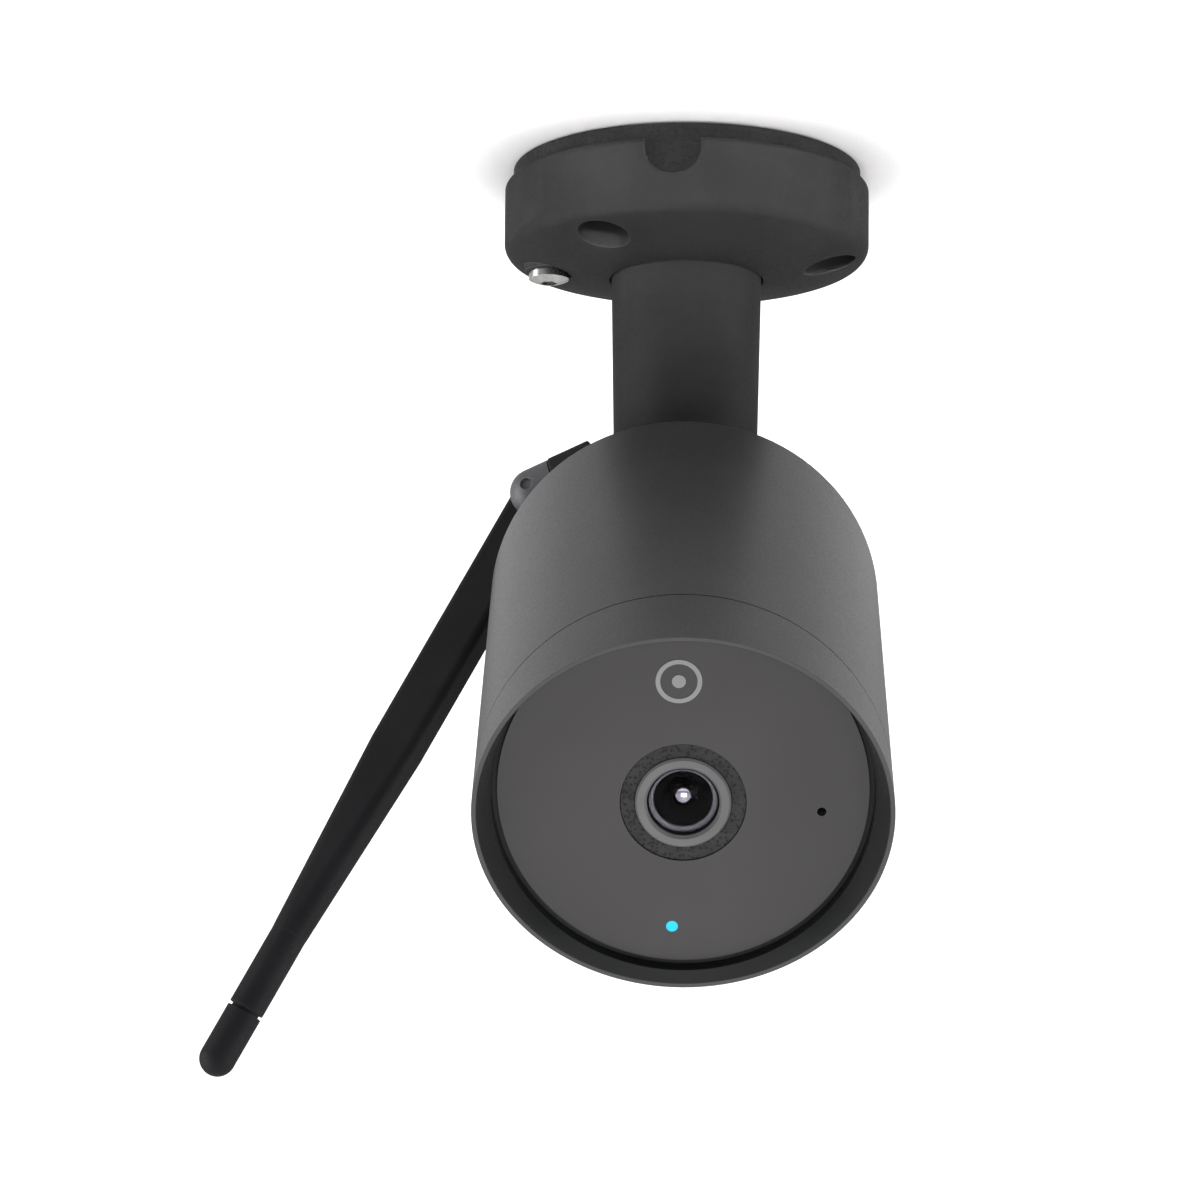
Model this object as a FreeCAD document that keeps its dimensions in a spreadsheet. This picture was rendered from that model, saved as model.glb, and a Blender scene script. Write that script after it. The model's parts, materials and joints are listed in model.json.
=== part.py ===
import FreeCAD, Part
import math
import os

import Sketcher
from FreeCAD import Placement, Rotation, Vector

# Security camera: a ceiling base, a panning stem, a tilting camera body and a folding antenna.
# The origin is the middle of the face that lies on the ceiling, +Z up, and the lens looks toward -Y.
# Millimetres and degrees throughout.

SIZES = [
    # ceiling base
    ("base_radius", 36.8, "outer radius of the ceiling base"),
    ("base_wall", 3.0, "side wall of the base"),
    ("base_turn", -4.4, "angle of the base features about Z"),
    ("base_edge_drop", 17.4, "ceiling to the lower edge of the base"),
    ("base_crown_drop", 22.6, "ceiling to the domed face where the stem enters"),
    ("base_edge_round", 3.0, "rounding of the lower edge"),
    ("base_floor_drop", 12.5, "ceiling to the inner floor of the base"),
    ("gasket_thickness", 3.3, "foam gasket against the ceiling"),
    ("gasket_inset", 1.7, "gasket edge inside the base edge"),
    ("gasket_width", 11.1, "width of the gasket ring"),
    ("mount_inset", 7.8, "mounting holes in from the outside of the base"),
    ("mount_hole", 2.6, "radius of a mounting hole"),
    ("mount_recess", 5.2, "radius of a mounting screw recess"),
    ("mount_seat", 2.2, "floor left under a mounting screw head"),
    ("mount_post", 4.9, "radius of the post round a mounting hole"),
    ("notch_radius", 5.6, "radius of the cable notch"),
    ("notch_depth", 7.5, "depth of the cable notch"),
    ("plug_inset", 1.0, "foam plug behind the outside of the base"),
    ("lock_inset", 8.9, "lock screw in from the outside of the base"),
    ("lock_boss", 4.9, "radius of the boss under the lock screw"),
    ("lock_boss_drop", 20.3, "ceiling to the seat of the lock screw"),
    ("lock_head", 4.05, "radius of the lock screw head"),
    ("lock_head_height", 2.5, "height of the lock screw head"),
    ("lock_shank", 2.0, "radius of the lock screw thread"),
    # swivel
    ("washer_thickness", 0.5, "friction washer under the stem flange"),
    ("flange_overhang", 3.4, "stem flange beyond the stem"),
    ("flange_thickness", 2.5, "thickness of the stem flange"),
    ("retainer_overhang", 5.1, "swivel retainer beyond the stem flange"),
    ("retainer_thickness", 2.0, "thickness of the swivel retainer"),
    ("retainer_tab_width", 9.0, "width of the retainer tab over the lock screw"),
    ("retainer_screw_gap", 2.7, "stem flange to the retainer screw axes"),
    ("retainer_post", 2.3, "radius of a retainer screw post"),
    ("small_screw", 1.1, "radius of the small screws"),
    ("small_head", 2.0, "head radius of the small screws"),
    ("small_head_height", 1.3, "head height of the small screws"),
    # stem and tilt knuckle
    ("stem_top", 15.1, "stem radius at the base"),
    ("stem_bottom", 14.1, "stem radius at its lower end"),
    ("stem_wall", 3.1, "wall of the stem at its lower end"),
    ("stem_floor", 6.0, "solid end under the cable bore"),
    ("tilt_drop", 82.4, "ceiling to the tilt axis"),
    ("knuckle_radius", 10.0, "radius of the tilt knuckle"),
    ("tongue_half", 6.0, "half thickness of the stem tongue"),
    ("ear_thickness", 6.0, "thickness of each ear of the rear cap"),
    ("tilt_washer", 0.5, "thickness of a tilt washer"),
    ("tilt_shank", 2.5, "radius of the tilt bolt"),
    ("tilt_head", 4.3, "head radius of the tilt bolt"),
    ("tilt_head_height", 3.5, "head height of the tilt bolt"),
    ("cable_hole", 4.0, "radius of the cable holes in stem and rear cap"),
    ("cable_hole_drop", 56.0, "ceiling to the cable hole in the stem"),
    ("cable_bore", 2.4, "bore of the cable grommets"),
    # camera body, along its own axis from the tilt axis
    ("pitch", 33.5, "downward pitch of the camera at rest"),
    ("camera_radius", 38.0, "outer radius of the camera body"),
    ("barrel_wall", 2.0, "wall of the main barrel"),
    ("rim_offset", 18.0, "tilt axis to the rear rim of the barrel"),
    ("barrel_length", 93.2, "length of the main barrel"),
    ("seam_gap", 0.4, "seam between barrel and hood"),
    ("cap_plate", 3.0, "thickness of the rear cap plate"),
    ("cap_inset", 1.4, "rear cap plate inside the barrel radius"),
    ("cap_plug", 6.0, "depth of the rear cap plug"),
    ("cap_hollow_gap", 4.0, "rear cap screw axes to the hollow in the plug"),
    ("cap_screw_inset", 4.5, "rear cap screws in from the barrel bore"),
    ("cap_screw", 1.5, "radius of the rear cap screws"),
    ("cap_screw_head", 2.8, "head radius of the rear cap screws"),
    ("cap_screw_head_height", 2.0, "head height of the rear cap screws"),
    ("boss_radius", 4.6, "radius of the screw bosses in the barrel"),
    ("boss_length", 12.0, "length of the screw bosses in the barrel"),
    ("gland_gap", 11.5, "rear cap screw axis to the cable gland axis"),
    # hood and front window
    ("hood_low_reach", 2.717, "front window to the lowest point of the hood rim"),
    ("hood_slant", 13.3, "slant of the hood rim"),
    ("hood_lip", 0.9, "thickness of the hood rim"),
    ("hood_wall", 3.2, "wall of the hood at the window"),
    ("hood_ledge", 2.1, "front window to the ledge of the hood"),
    ("hood_spigot", 7.5, "hood spigot inside the barrel"),
    ("window_gap", 1.1, "radial gap from the window to the hood bore"),
    ("window_thickness", 2.0, "thickness of the front window"),
    ("carrier_thickness", 2.0, "thickness of the front carrier"),
    ("led_board_gap", 4.3, "carrier to the light board"),
    ("board_thickness", 1.6, "thickness of the circuit boards"),
    ("led_board_inset", 0.3, "light board edge in from the window edge"),
    ("lens_drop", 2.4, "lens axis under the camera axis"),
    ("lens_opening", 11.5, "radius of the lens opening in the window"),
    ("lens_ring", 8.75, "radius of the lens front ring"),
    ("lens_body", 6.9, "radius of the lens body"),
    ("lens_glass", 6.6, "radius of the front lens element"),
    ("status_x", -1.9, "status light, sideways"),
    ("status_inset", 6.7, "status light in from the window edge"),
    ("status_radius", 1.1, "radius of the status light"),
    ("sensor_inset", 9.7, "light sensor in from the window edge"),
    ("microphone_inset", 8.6, "microphone in from the window edge"),
    ("microphone_y", -4.0, "microphone, from the camera axis"),
    ("microphone_hole", 0.85, "radius of the microphone hole"),
    ("mark_x", -0.9, "printed mark, sideways"),
    ("mark_inset", 12.4, "printed mark in from the window edge"),
    ("mark_radius", 4.2, "outer radius of the printed mark"),
    ("infrared_inset", 12.2, "infrared lamps in from the window edge"),
    ("infrared_radius", 2.5, "radius of an infrared lamp"),
    # boards and card bay
    ("tray_half_width", 22.0, "half width of the chassis tray"),
    ("tray_drop", 16.0, "camera axis to the underside of the chassis tray"),
    ("tray_thickness", 1.5, "thickness of the chassis tray"),
    ("tray_gap", 4.0, "rear cap plug to the chassis tray"),
    ("board_lift", 3.5, "tray to the main board"),
    ("bay_start", 31.0, "rear rim to the card cover"),
    ("bay_length", 32.0, "length of the card cover"),
    ("bay_half_width", 11.0, "half width of the card cover opening"),
    ("bay_ledge", 3.0, "ledge that the card cover sits on"),
    ("cover_gap", 0.2, "gap round the card cover"),
    ("button_radius", 1.2, "radius of the reset button"),
    ("button_travel", 0.4, "travel of the reset button"),
    # antenna
    ("antenna_inset", 3.9, "antenna hinge in from the outside of the camera body"),
    ("antenna_bearing", 151.63, "angle of the antenna hinge about the camera axis"),
    ("antenna_z", -0.4, "antenna hinge, in front of the tilt axis"),
    ("antenna_dip", 26.2, "dip of the antenna swivel axis"),
    ("antenna_swivel", 47.5, "swivel angle of the antenna at rest"),
    ("antenna_fold", 41.0, "fold angle of the antenna at rest"),
    ("socket_radius", 5.0, "radius of the antenna socket"),
    ("socket_length", 8.5, "length of the antenna socket"),
    ("pedestal_radius", 3.8, "radius of the post under the antenna socket"),
    ("pedestal_inset", 0.3, "socket end to the post under it"),
    ("knuckle_reach", 5.5, "hinge pin to the socket face"),
    ("antenna_knuckle", 4.8, "radius of the antenna knuckle"),
    ("antenna_stub", 3.0, "radius of the swivel stub in the socket"),
    ("stub_length", 4.5, "length of the swivel stub"),
    ("lap_half_gap", 0.15, "half gap between knuckle and blade"),
    ("hinge_pin", 1.2, "radius of the antenna hinge pin"),
    ("blade_width", 10.0, "width of the antenna blade"),
    ("blade_thickness", 7.0, "thickness of the antenna blade"),
    ("blade_round", 1.6, "rounding of the blade edges"),
    ("blade_flat", 58.0, "hinge pin to the start of the taper"),
    ("blade_taper", 42.0, "length of the taper"),
    ("blade_tail", 17.0, "round end of the blade after the taper"),
    ("tip_radius", 3.6, "radius of the round end"),
    ("tip_groove", 0.8, "groove between blade and tip cap"),
    ("tip_cap", 10.4, "straight length of the tip cap"),
    # clearances
    ("running_fit", 0.05, "radial clearance of a turning fit"),
    ("slip_fit", 0.1, "radial clearance of a push fit"),
    ("pan_clearance", 0.4, "gap between the stem and the base opening"),
]

doc = FreeCAD.newDocument("security_camera")
sheet = doc.addObject("Spreadsheet::Sheet", "Sizes")


class Size:
    """A length or angle that carries its number and the sheet formula that it comes from."""

    def __init__(self, number, formula):
        self.number = number
        self.formula = formula

    def __add__(self, other):
        other = as_size(other)
        return Size(self.number + other.number, f"({self.formula} + {other.formula})")

    def __radd__(self, other):
        return as_size(other) + self

    def __sub__(self, other):
        other = as_size(other)
        return Size(self.number - other.number, f"({self.formula} - {other.formula})")

    def __rsub__(self, other):
        return as_size(other) - self

    def __mul__(self, other):
        other = as_size(other)
        return Size(self.number * other.number, f"({self.formula} * {other.formula})")

    def __rmul__(self, other):
        return as_size(other) * self

    def __truediv__(self, other):
        other = as_size(other)
        return Size(self.number / other.number, f"({self.formula} / {other.formula})")

    def __neg__(self):
        return Size(-self.number, f"(0 - {self.formula})")


def as_size(value):
    return value if isinstance(value, Size) else Size(float(value), repr(float(value)))


def cosine(angle):
    return Size(math.cos(math.radians(angle.number)), f"cos({angle.formula})")


def sine(angle):
    return Size(math.sin(math.radians(angle.number)), f"sin({angle.formula})")


class Sizes:
    """The sheet's cells as Size values, one attribute for each alias."""


size = Sizes()
for row, (alias, value, note) in enumerate(SIZES, start=1):
    sheet.set(f"A{row}", alias)
    sheet.set(f"B{row}", str(value))
    sheet.setAlias(f"B{row}", alias)
    sheet.set(f"C{row}", note)
    setattr(size, alias, Size(value, f"Sizes.{alias}"))
doc.recompute()

X_AXIS = Vector(1, 0, 0)
Y_AXIS = Vector(0, 1, 0)
Z_AXIS = Vector(0, 0, 1)
LONG = 200.0
nodes = {}


# ---------------------------------------------------------------- building blocks

def bind(feature, prop, value):
    """Sets a property to a size and ties it to the sheet."""
    feature.setExpression(prop, as_size(value).formula)


def put(feature, at, turn=None):
    """Places a primitive at three sizes, turned first."""
    spot = Vector(*[as_size(value).number for value in at])
    feature.Placement = Placement(spot, turn or Rotation())
    for axis, value in zip("xyz", at):
        bind(feature, f"Placement.Base.{axis}", value)
    return feature


ALONG_X = Rotation(Y_AXIS, 90)
ALONG_Y = Rotation(X_AXIS, -90)
ALONG_Z = Rotation()
TO_MINUS_Z = Rotation(X_AXIS, 180)


def cylinder(radius, height, at=(0, 0, 0), turn=ALONG_Z):
    feature = doc.addObject("Part::Cylinder", "Cylinder")
    bind(feature, "Radius", radius)
    bind(feature, "Height", height)
    return put(feature, at, turn)


def block(x_size, y_size, z_size, at):
    """A box centred on `at` in X and Y that starts there in Z."""
    feature = doc.addObject("Part::Box", "Box")
    bind(feature, "Length", x_size)
    bind(feature, "Width", y_size)
    bind(feature, "Height", z_size)
    corner = (at[0] - as_size(x_size) / 2, at[1] - as_size(y_size) / 2, at[2])
    return put(feature, corner)


def hexagon(flats, height, at, turn=ALONG_Z):
    """A six-sided prism measured across its flats."""
    feature = doc.addObject("Part::Prism", "Hexagon")
    feature.Polygon = 6
    bind(feature, "Circumradius", as_size(flats) / math.sqrt(3))
    bind(feature, "Height", height)
    return put(feature, at, turn)


def fuse(*shapes):
    feature = doc.addObject("Part::MultiFuse", "Fuse")
    feature.Shapes = list(shapes)
    feature.Refine = True
    return feature


def cut(base, *tools):
    feature = doc.addObject("Part::Cut", "Cut")
    feature.Base = base
    feature.Tool = tools[0] if len(tools) == 1 else fuse(*tools)
    feature.Refine = True
    return feature


def common(first, second):
    feature = doc.addObject("Part::MultiCommon", "Common")
    feature.Shapes = [first, second]
    feature.Refine = True
    return feature


def polar(radius, degrees):
    """X and Y sizes of a spot at a radius and an angle about Z."""
    turn = math.radians(degrees)
    return as_size(radius) * math.cos(turn), as_size(radius) * math.sin(turn)


def origin_plane(body, role):
    return [item for item in body.Origin.OriginFeatures if item.Role == role][0]


def sketch_on(body, role, name):
    sketch = body.newObject("Sketcher::SketchObject", name)
    sketch.AttachmentSupport = [(origin_plane(body, role), "")]
    sketch.MapMode = "FlatFace"
    return sketch


def pin_point(sketch, geometry, end, across, up):
    """Ties one end of a sketch element to two sizes, measured from the sketch origin."""
    pairs = (("DistanceX", across, -2), ("DistanceY", up, -1))
    for kind, value, axis in pairs:
        if abs(value.number) < 1e-9:
            sketch.addConstraint(Sketcher.Constraint("PointOnObject", geometry, end, axis))
            continue
        if value.number > 0:
            index = sketch.addConstraint(
                Sketcher.Constraint(kind, -1, 1, geometry, end, value.number))
            sketch.setExpression(f"Constraints[{index}]", value.formula)
        else:
            index = sketch.addConstraint(
                Sketcher.Constraint(kind, geometry, end, -1, 1, -value.number))
            sketch.setExpression(f"Constraints[{index}]", f"0 - {value.formula}")


def crown_arc(start, end):
    """An arc centred on the axis through two (radius, height) spots, and whether it runs backward."""
    (r1, z1), (r2, z2) = [(spot[0].number, spot[1].number) for spot in (start, end)]
    centre = (r1 * r1 + z1 * z1 - r2 * r2 - z2 * z2) / (2 * (z1 - z2))
    circle = Part.Circle(Vector(0, centre, 0), Z_AXIS, math.hypot(r1, z1 - centre))
    angles = [math.atan2(z - centre, r) for r, z in ((r1, z1), (r2, z2))]
    backward = (angles[1] - angles[0]) % (2 * math.pi) > math.pi
    if backward:
        angles.reverse()
    return Part.ArcOfCircle(circle, angles[0], angles[1]), backward


def profile_sketch(sketch, points):
    """Draws a closed outline. A point with a third item starts an arc centred on the axis."""
    points = [tuple(as_size(value) for value in point[:2]) + tuple(point[2:]) for point in points]
    ends = []
    for index, point in enumerate(points):
        following = points[(index + 1) % len(points)]
        if len(point) > 2:
            shape, backward = crown_arc(point, following)
        else:
            corners = [Vector(spot[0].number, spot[1].number, 0) for spot in (point, following)]
            shape, backward = Part.LineSegment(*corners), False
        geometry = sketch.addGeometry(shape, False)
        ends.append((geometry, 2, 1) if backward else (geometry, 1, 2))
    for index, (geometry, start, _) in enumerate(ends):
        before, _, end = ends[index - 1]
        sketch.addConstraint(Sketcher.Constraint("Coincident", before, end, geometry, start))
        pin_point(sketch, geometry, start, points[index][0], points[index][1])
        if len(points[index]) > 2:
            sketch.addConstraint(Sketcher.Constraint("PointOnObject", geometry, 3, -2))


def revolved(name, points):
    """A body turned about its own Z axis from (radius, height) points."""
    body = doc.addObject("PartDesign::Body", name)
    sketch = sketch_on(body, "XZ_Plane", name + "_profile")
    profile_sketch(sketch, points)
    turned = body.newObject("PartDesign::Revolution", name + "_turned")
    turned.Profile = sketch
    turned.ReferenceAxis = (sketch, ["V_Axis"])
    turned.Angle = 360
    sketch.Visibility = False
    return body


def ring(name, inner, outer, low, high):
    return revolved(name, [(inner, low), (outer, low), (outer, high), (inner, high)])


def disc(name, radius, low, high):
    return revolved(name, [(0, low), (radius, low), (radius, high), (0, high)])


def rounded_edges(body, radius, wanted):
    """Rounds the circular edges of a body that `wanted` picks by radius and height."""
    doc.recompute()
    names = []
    for index, edge in enumerate(body.Shape.Edges, start=1):
        if hasattr(edge.Curve, "Radius") and wanted(edge.Curve.Radius, edge.Curve.Center.z):
            names.append(f"Edge{index}")
    before = body.Tip
    feature = body.newObject("PartDesign::Fillet", body.Name + "_round")
    feature.Base = (before, names)
    bind(feature, "Radius", radius)
    return body


def node(name, feature, placement=None):
    """Names a finished sub-part and puts it in its place."""
    if placement is not None and feature.TypeId in ("Part::Cylinder", "Part::Box", "Part::Prism"):
        holder = doc.addObject("Part::Compound", name)
        holder.Links = [feature]
        feature = holder
    feature.Label = name
    if placement is not None:
        feature.Placement = placement
    nodes[name] = feature
    return feature


def group(name, pieces, placement=None):
    """A node that holds identical loose pieces."""
    holder = doc.addObject("Part::Compound", name)
    holder.Links = pieces
    return node(name, holder, placement)


def is_near(first, second):
    return abs(first - second) < 1e-4


# ---------------------------------------------------------------- sizes that follow from others

barrel_bore = size.camera_radius - size.barrel_wall
mount_circle = size.base_radius - size.mount_inset
lock_circle = size.base_radius - size.lock_inset
flange_radius = size.stem_top + size.flange_overhang
retainer_radius = flange_radius + size.retainer_overhang
retainer_screw_circle = flange_radius + size.retainer_screw_gap
stem_bore = size.stem_bottom - size.stem_wall
cap_screw_circle = barrel_bore - size.cap_screw_inset
cap_hollow = cap_screw_circle - size.cap_hollow_gap
gland_offset = cap_screw_circle - size.gland_gap
hood_bore = size.camera_radius - size.hood_wall
hood_rise = size.camera_radius * sine(size.hood_slant) / cosine(size.hood_slant)
hood_reach = size.hood_low_reach + hood_rise
window_radius = hood_bore - size.window_gap
led_board_radius = window_radius - size.led_board_inset
status_y = size.status_inset - window_radius
microphone_x = window_radius - size.microphone_inset
mark_y = window_radius - size.mark_inset
infrared_circle = window_radius - size.infrared_inset
antenna_x = (size.camera_radius - size.antenna_inset) * cosine(size.antenna_bearing)
antenna_y = (size.camera_radius - size.antenna_inset) * sine(size.antenna_bearing)

# ---------------------------------------------------------------- frames

base_frame = Placement(Vector(), Rotation(Z_AXIS, size.base_turn.number))
# the camera's own frame: X to the viewer's right, Y up, Z out of the lens, origin on the tilt axis
camera_frame = Placement(
    Vector(0, 0, -size.tilt_drop.number), Rotation(X_AXIS, 90 + size.pitch.number))

dip = math.radians(size.antenna_dip.number)
swivel = math.radians(size.antenna_swivel.number)
swivel_axis = Vector(-math.cos(dip), -math.sin(dip), 0)
across_swivel = Vector(-math.sin(dip), math.cos(dip), 0)
pin_axis = Z_AXIS * math.cos(swivel) + across_swivel * math.sin(swivel)
hinge_spot = Vector(antenna_x.number, antenna_y.number, size.antenna_z.number)
# the antenna knuckle's frame: X along the hinge pin, Z along the swivel axis away from the socket
knuckle_local = Placement(
    hinge_spot, Rotation(pin_axis, swivel_axis.cross(pin_axis), swivel_axis, "ZXY"))
knuckle_frame = camera_frame.multiply(knuckle_local)
blade_frame = knuckle_frame.multiply(
    Placement(Vector(), Rotation(X_AXIS, size.antenna_fold.number)))

MOUNT_ANGLES = (0, 120, 240)
LOCK_ANGLE = 180
RETAINER_ANGLES = (60, 300)
CAP_SCREW_ANGLES = (0, 90, 180, 270)
INFRARED_ANGLES = (30, 90, 150, 210, 330)


# ---------------------------------------------------------------- ceiling base

def screw(shank, shank_length, head, head_height, at, turn=ALONG_Z, socket=None):
    """A socket-head screw along its own Z axis, its head's underside at `at`."""
    body = revolved("screw", [
        (0, -shank_length), (shank, -shank_length), (shank, 0), (head, 0),
        (head, head_height * 0.6, "dome"), (0, head_height)])
    flats = socket or head * 0.75
    recess = hexagon(flats, head_height, (0, 0, head_height * 0.4))
    feature = cut(body, recess)
    feature.Placement = Placement(Vector(*[as_size(value).number for value in at]), turn)
    return feature


def ceiling_gasket():
    outer = size.base_radius - size.gasket_inset
    blank = ring("gasket_blank", outer - size.gasket_width, outer, -size.gasket_thickness, 0)
    holes = [cylinder(size.mount_hole, LONG, (*polar(mount_circle, angle), -LONG / 2))
             for angle in MOUNT_ANGLES]
    return node("ceiling_gasket", cut(blank, *holes), base_frame)


def base_housing():
    top = -size.gasket_thickness
    floor = -size.base_floor_drop
    opening = size.stem_top + size.pan_clearance
    inner = size.base_radius - size.base_wall
    blank = revolved("base_blank", [
        (opening, -size.base_crown_drop, "dome"), (size.base_radius, -size.base_edge_drop),
        (size.base_radius, top), (inner, top), (inner, floor), (opening, floor)])
    edge = (size.base_radius.number, -size.base_edge_drop.number)
    rounded_edges(blank, size.base_edge_round,
                  lambda radius, height: is_near(radius, edge[0]) and is_near(height, edge[1]))
    rounded_edges(blank, size.base_edge_round / 3,
                  lambda radius, height: is_near(radius, edge[0]) and is_near(height, top.number))
    solid = [blank]
    hollow = []
    for angle in MOUNT_ANGLES:
        spot = polar(mount_circle, angle)
        solid.append(cylinder(size.mount_post, -floor + top, (*spot, floor)))
        hollow.append(cylinder(size.mount_hole, LONG, (*spot, -LONG / 2)))
        seat = floor - size.mount_seat
        hollow.append(cylinder(size.mount_recess, LONG, (*spot, seat - LONG)))
    retainer_low = floor + size.washer_thickness + size.flange_thickness + size.slip_fit
    for angle in RETAINER_ANGLES:
        spot = polar(retainer_screw_circle, angle)
        solid.append(cylinder(size.retainer_post, retainer_low - floor, (*spot, floor)))
        hollow.append(cylinder(size.small_screw, LONG, (*spot, floor - size.mount_seat)))
    lock = polar(lock_circle, LOCK_ANGLE)
    boss_low = -size.lock_boss_drop
    solid.append(cylinder(size.lock_boss, retainer_low - boss_low, (*lock, boss_low)))
    hollow.append(cylinder(size.lock_shank + size.slip_fit, LONG, (*lock, -LONG / 2)))
    hollow.append(cylinder(size.lock_boss - 0.3, LONG, (*lock, boss_low - LONG)))
    notch_centre = top - size.notch_depth + size.notch_radius
    notch_start = -size.base_radius * 1.1
    notch_length = size.base_wall + size.base_radius * 0.2
    hollow.append(cylinder(size.notch_radius, notch_length, (0, notch_start, notch_centre), ALONG_Y))
    hollow.append(block(size.notch_radius * 2, notch_length, size.notch_depth,
                        (as_size(0), notch_start + notch_length / 2, notch_centre)))
    hollow.append(cylinder(flange_radius + size.pan_clearance / 2, top - floor, (0, 0, floor)))
    return node("base_housing", cut(fuse(*solid), *hollow), base_frame)


def notch_plug():
    """The foam plug that closes the side exit for the cable."""
    top = -size.gasket_thickness
    radius = size.notch_radius - size.slip_fit
    centre = top - size.notch_depth + size.notch_radius
    start = -(size.base_radius - size.plug_inset)
    length = size.base_wall - size.plug_inset
    round_part = cylinder(radius, length, (0, start, centre), ALONG_Y)
    upper_part = block(radius * 2, length, size.notch_depth, (as_size(0), start + length / 2, centre))
    under_gasket = block(radius * 4, length * 2, size.notch_depth * 2,
                         (as_size(0), start + length / 2, top - size.notch_depth * 2))
    return node("notch_plug", common(fuse(round_part, upper_part), under_gasket), base_frame)


def friction_washer():
    low = -size.base_floor_drop
    opening = size.stem_top + size.pan_clearance
    return node("friction_washer", ring(
        "friction_washer", opening, flange_radius, low, low + size.washer_thickness))


def retainer_height():
    """Underside of the retainer, just clear of the stem flange."""
    return (-size.base_floor_drop + size.washer_thickness + size.flange_thickness
            + size.slip_fit)


def swivel_retainer():
    low = retainer_height()
    plate = ring("retainer_ring", stem_bore + 1.5, retainer_radius, low,
                 low + size.retainer_thickness)
    reach = lock_circle + size.retainer_post * 1.5 - retainer_screw_circle
    tab = block(reach, size.retainer_tab_width, size.retainer_thickness,
                (-(retainer_screw_circle + reach / 2), as_size(0), low))
    holes = [cylinder(size.small_screw, LONG, (*polar(retainer_screw_circle, angle), -LONG / 2))
             for angle in RETAINER_ANGLES]
    holes.append(cylinder(size.lock_shank, LONG, (*polar(lock_circle, LOCK_ANGLE), -LONG / 2)))
    holes += [cylinder(size.mount_post + size.slip_fit * 2, LONG, (*polar(mount_circle, angle), -LONG / 2))
              for angle in MOUNT_ANGLES]
    return node("swivel_retainer", cut(fuse(plate, tab), *holes), base_frame)


def retainer_screws():
    top = retainer_height() + size.retainer_thickness
    length = top + size.base_floor_drop + size.mount_seat
    pieces = [screw(size.small_screw, length, size.small_head, size.small_head_height,
                    (*polar(retainer_screw_circle, angle), top))
              for angle in RETAINER_ANGLES]
    return group("retainer_screws", pieces, base_frame)


def pan_lock_screw():
    length = retainer_height() + size.retainer_thickness + size.lock_boss_drop
    spot = polar(lock_circle, LOCK_ANGLE)
    piece = screw(size.lock_shank, length, size.lock_head, size.lock_head_height,
                  (*spot, -size.lock_boss_drop), TO_MINUS_Z)
    return group("pan_lock_screw", [piece], base_frame)


# ---------------------------------------------------------------- stem and tilt joint

def stem():
    flange_low = -size.base_floor_drop + size.washer_thickness
    flange_top = flange_low + size.flange_thickness
    shoulder = -size.tilt_drop + size.knuckle_radius + 0.5
    bore_end = shoulder + size.stem_floor
    tube = revolved("stem_tube", [
        (0, shoulder), (size.stem_bottom, shoulder), (size.stem_top, -size.base_crown_drop),
        (size.stem_top, flange_low), (flange_radius, flange_low),
        (flange_radius, flange_top), (stem_bore, flange_top),
        (stem_bore, bore_end), (0, bore_end)])
    rounded_edges(tube, size.flange_thickness / 2,
                  lambda radius, height: is_near(radius, size.stem_bottom.number)
                  and is_near(height, shoulder.number))
    tongue = block(size.tongue_half * 2, size.knuckle_radius * 2, size.knuckle_radius + 1,
                   (as_size(0), as_size(0), -size.tilt_drop))
    eye = cylinder(size.knuckle_radius, size.tongue_half * 2,
                   (-size.tongue_half, 0, -size.tilt_drop), ALONG_X)
    pin_hole = cylinder(size.tilt_shank + size.running_fit, LONG,
                        (-LONG / 2, 0, -size.tilt_drop), ALONG_X)
    cable_way = cylinder(size.cable_hole, LONG, (0, 0, -size.cable_hole_drop), ALONG_Y)
    return node("stem", cut(fuse(tube, tongue, eye), pin_hole, cable_way))


def stem_grommet():
    reach = size.stem_top - 0.2
    sleeve = revolved("grommet_sleeve", [
        (size.cable_bore, stem_bore - 0.6), (size.cable_hole, stem_bore - 0.6),
        (size.cable_hole, reach), (size.cable_hole + 1.0, reach + 0.4),
        (size.cable_hole + 0.6, reach + 1.6), (size.cable_bore, reach + 1.6)])
    return node("stem_grommet", sleeve,
                Placement(Vector(0, 0, -size.cable_hole_drop.number), ALONG_Y))


def ear_start():
    return size.tongue_half + size.tilt_washer + size.running_fit


def tilt_washers():
    """Two friction discs between the tongue and the ears."""
    discs = []
    for side in (-1, 1):
        outer_face = ear_start() * side
        start = outer_face if side < 0 else outer_face - size.tilt_washer
        solid = cylinder(size.knuckle_radius - 0.5, size.tilt_washer, (start, 0, 0), ALONG_X)
        hole = cylinder(size.tilt_shank, size.tilt_washer * 3,
                        (start - size.tilt_washer, 0, 0), ALONG_X)
        discs.append(cut(solid, hole))
    return group("tilt_washers", discs, camera_frame)


def tilt_bolt():
    grip = ear_start() + size.ear_thickness
    piece = screw(size.tilt_shank, grip * 2 + size.tilt_head_height, size.tilt_head,
                  size.tilt_head_height, (grip, 0, 0), ALONG_X)
    return group("tilt_bolt", [piece], camera_frame)


def tilt_nut():
    grip = ear_start() + size.ear_thickness
    start = -grip - size.tilt_head_height
    body = hexagon(size.tilt_shank * 3.2, size.tilt_head_height, (start, 0, 0), ALONG_X)
    hole = cylinder(size.tilt_shank, LONG, (-LONG / 2, 0, 0), ALONG_X)
    return node("tilt_nut", cut(body, hole), camera_frame)


# ---------------------------------------------------------------- camera casing


rim = size.rim_offset
barrel_front = rim + size.barrel_length
window_face = barrel_front + size.seam_gap
plate_back = rim - size.cap_plate


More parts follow.
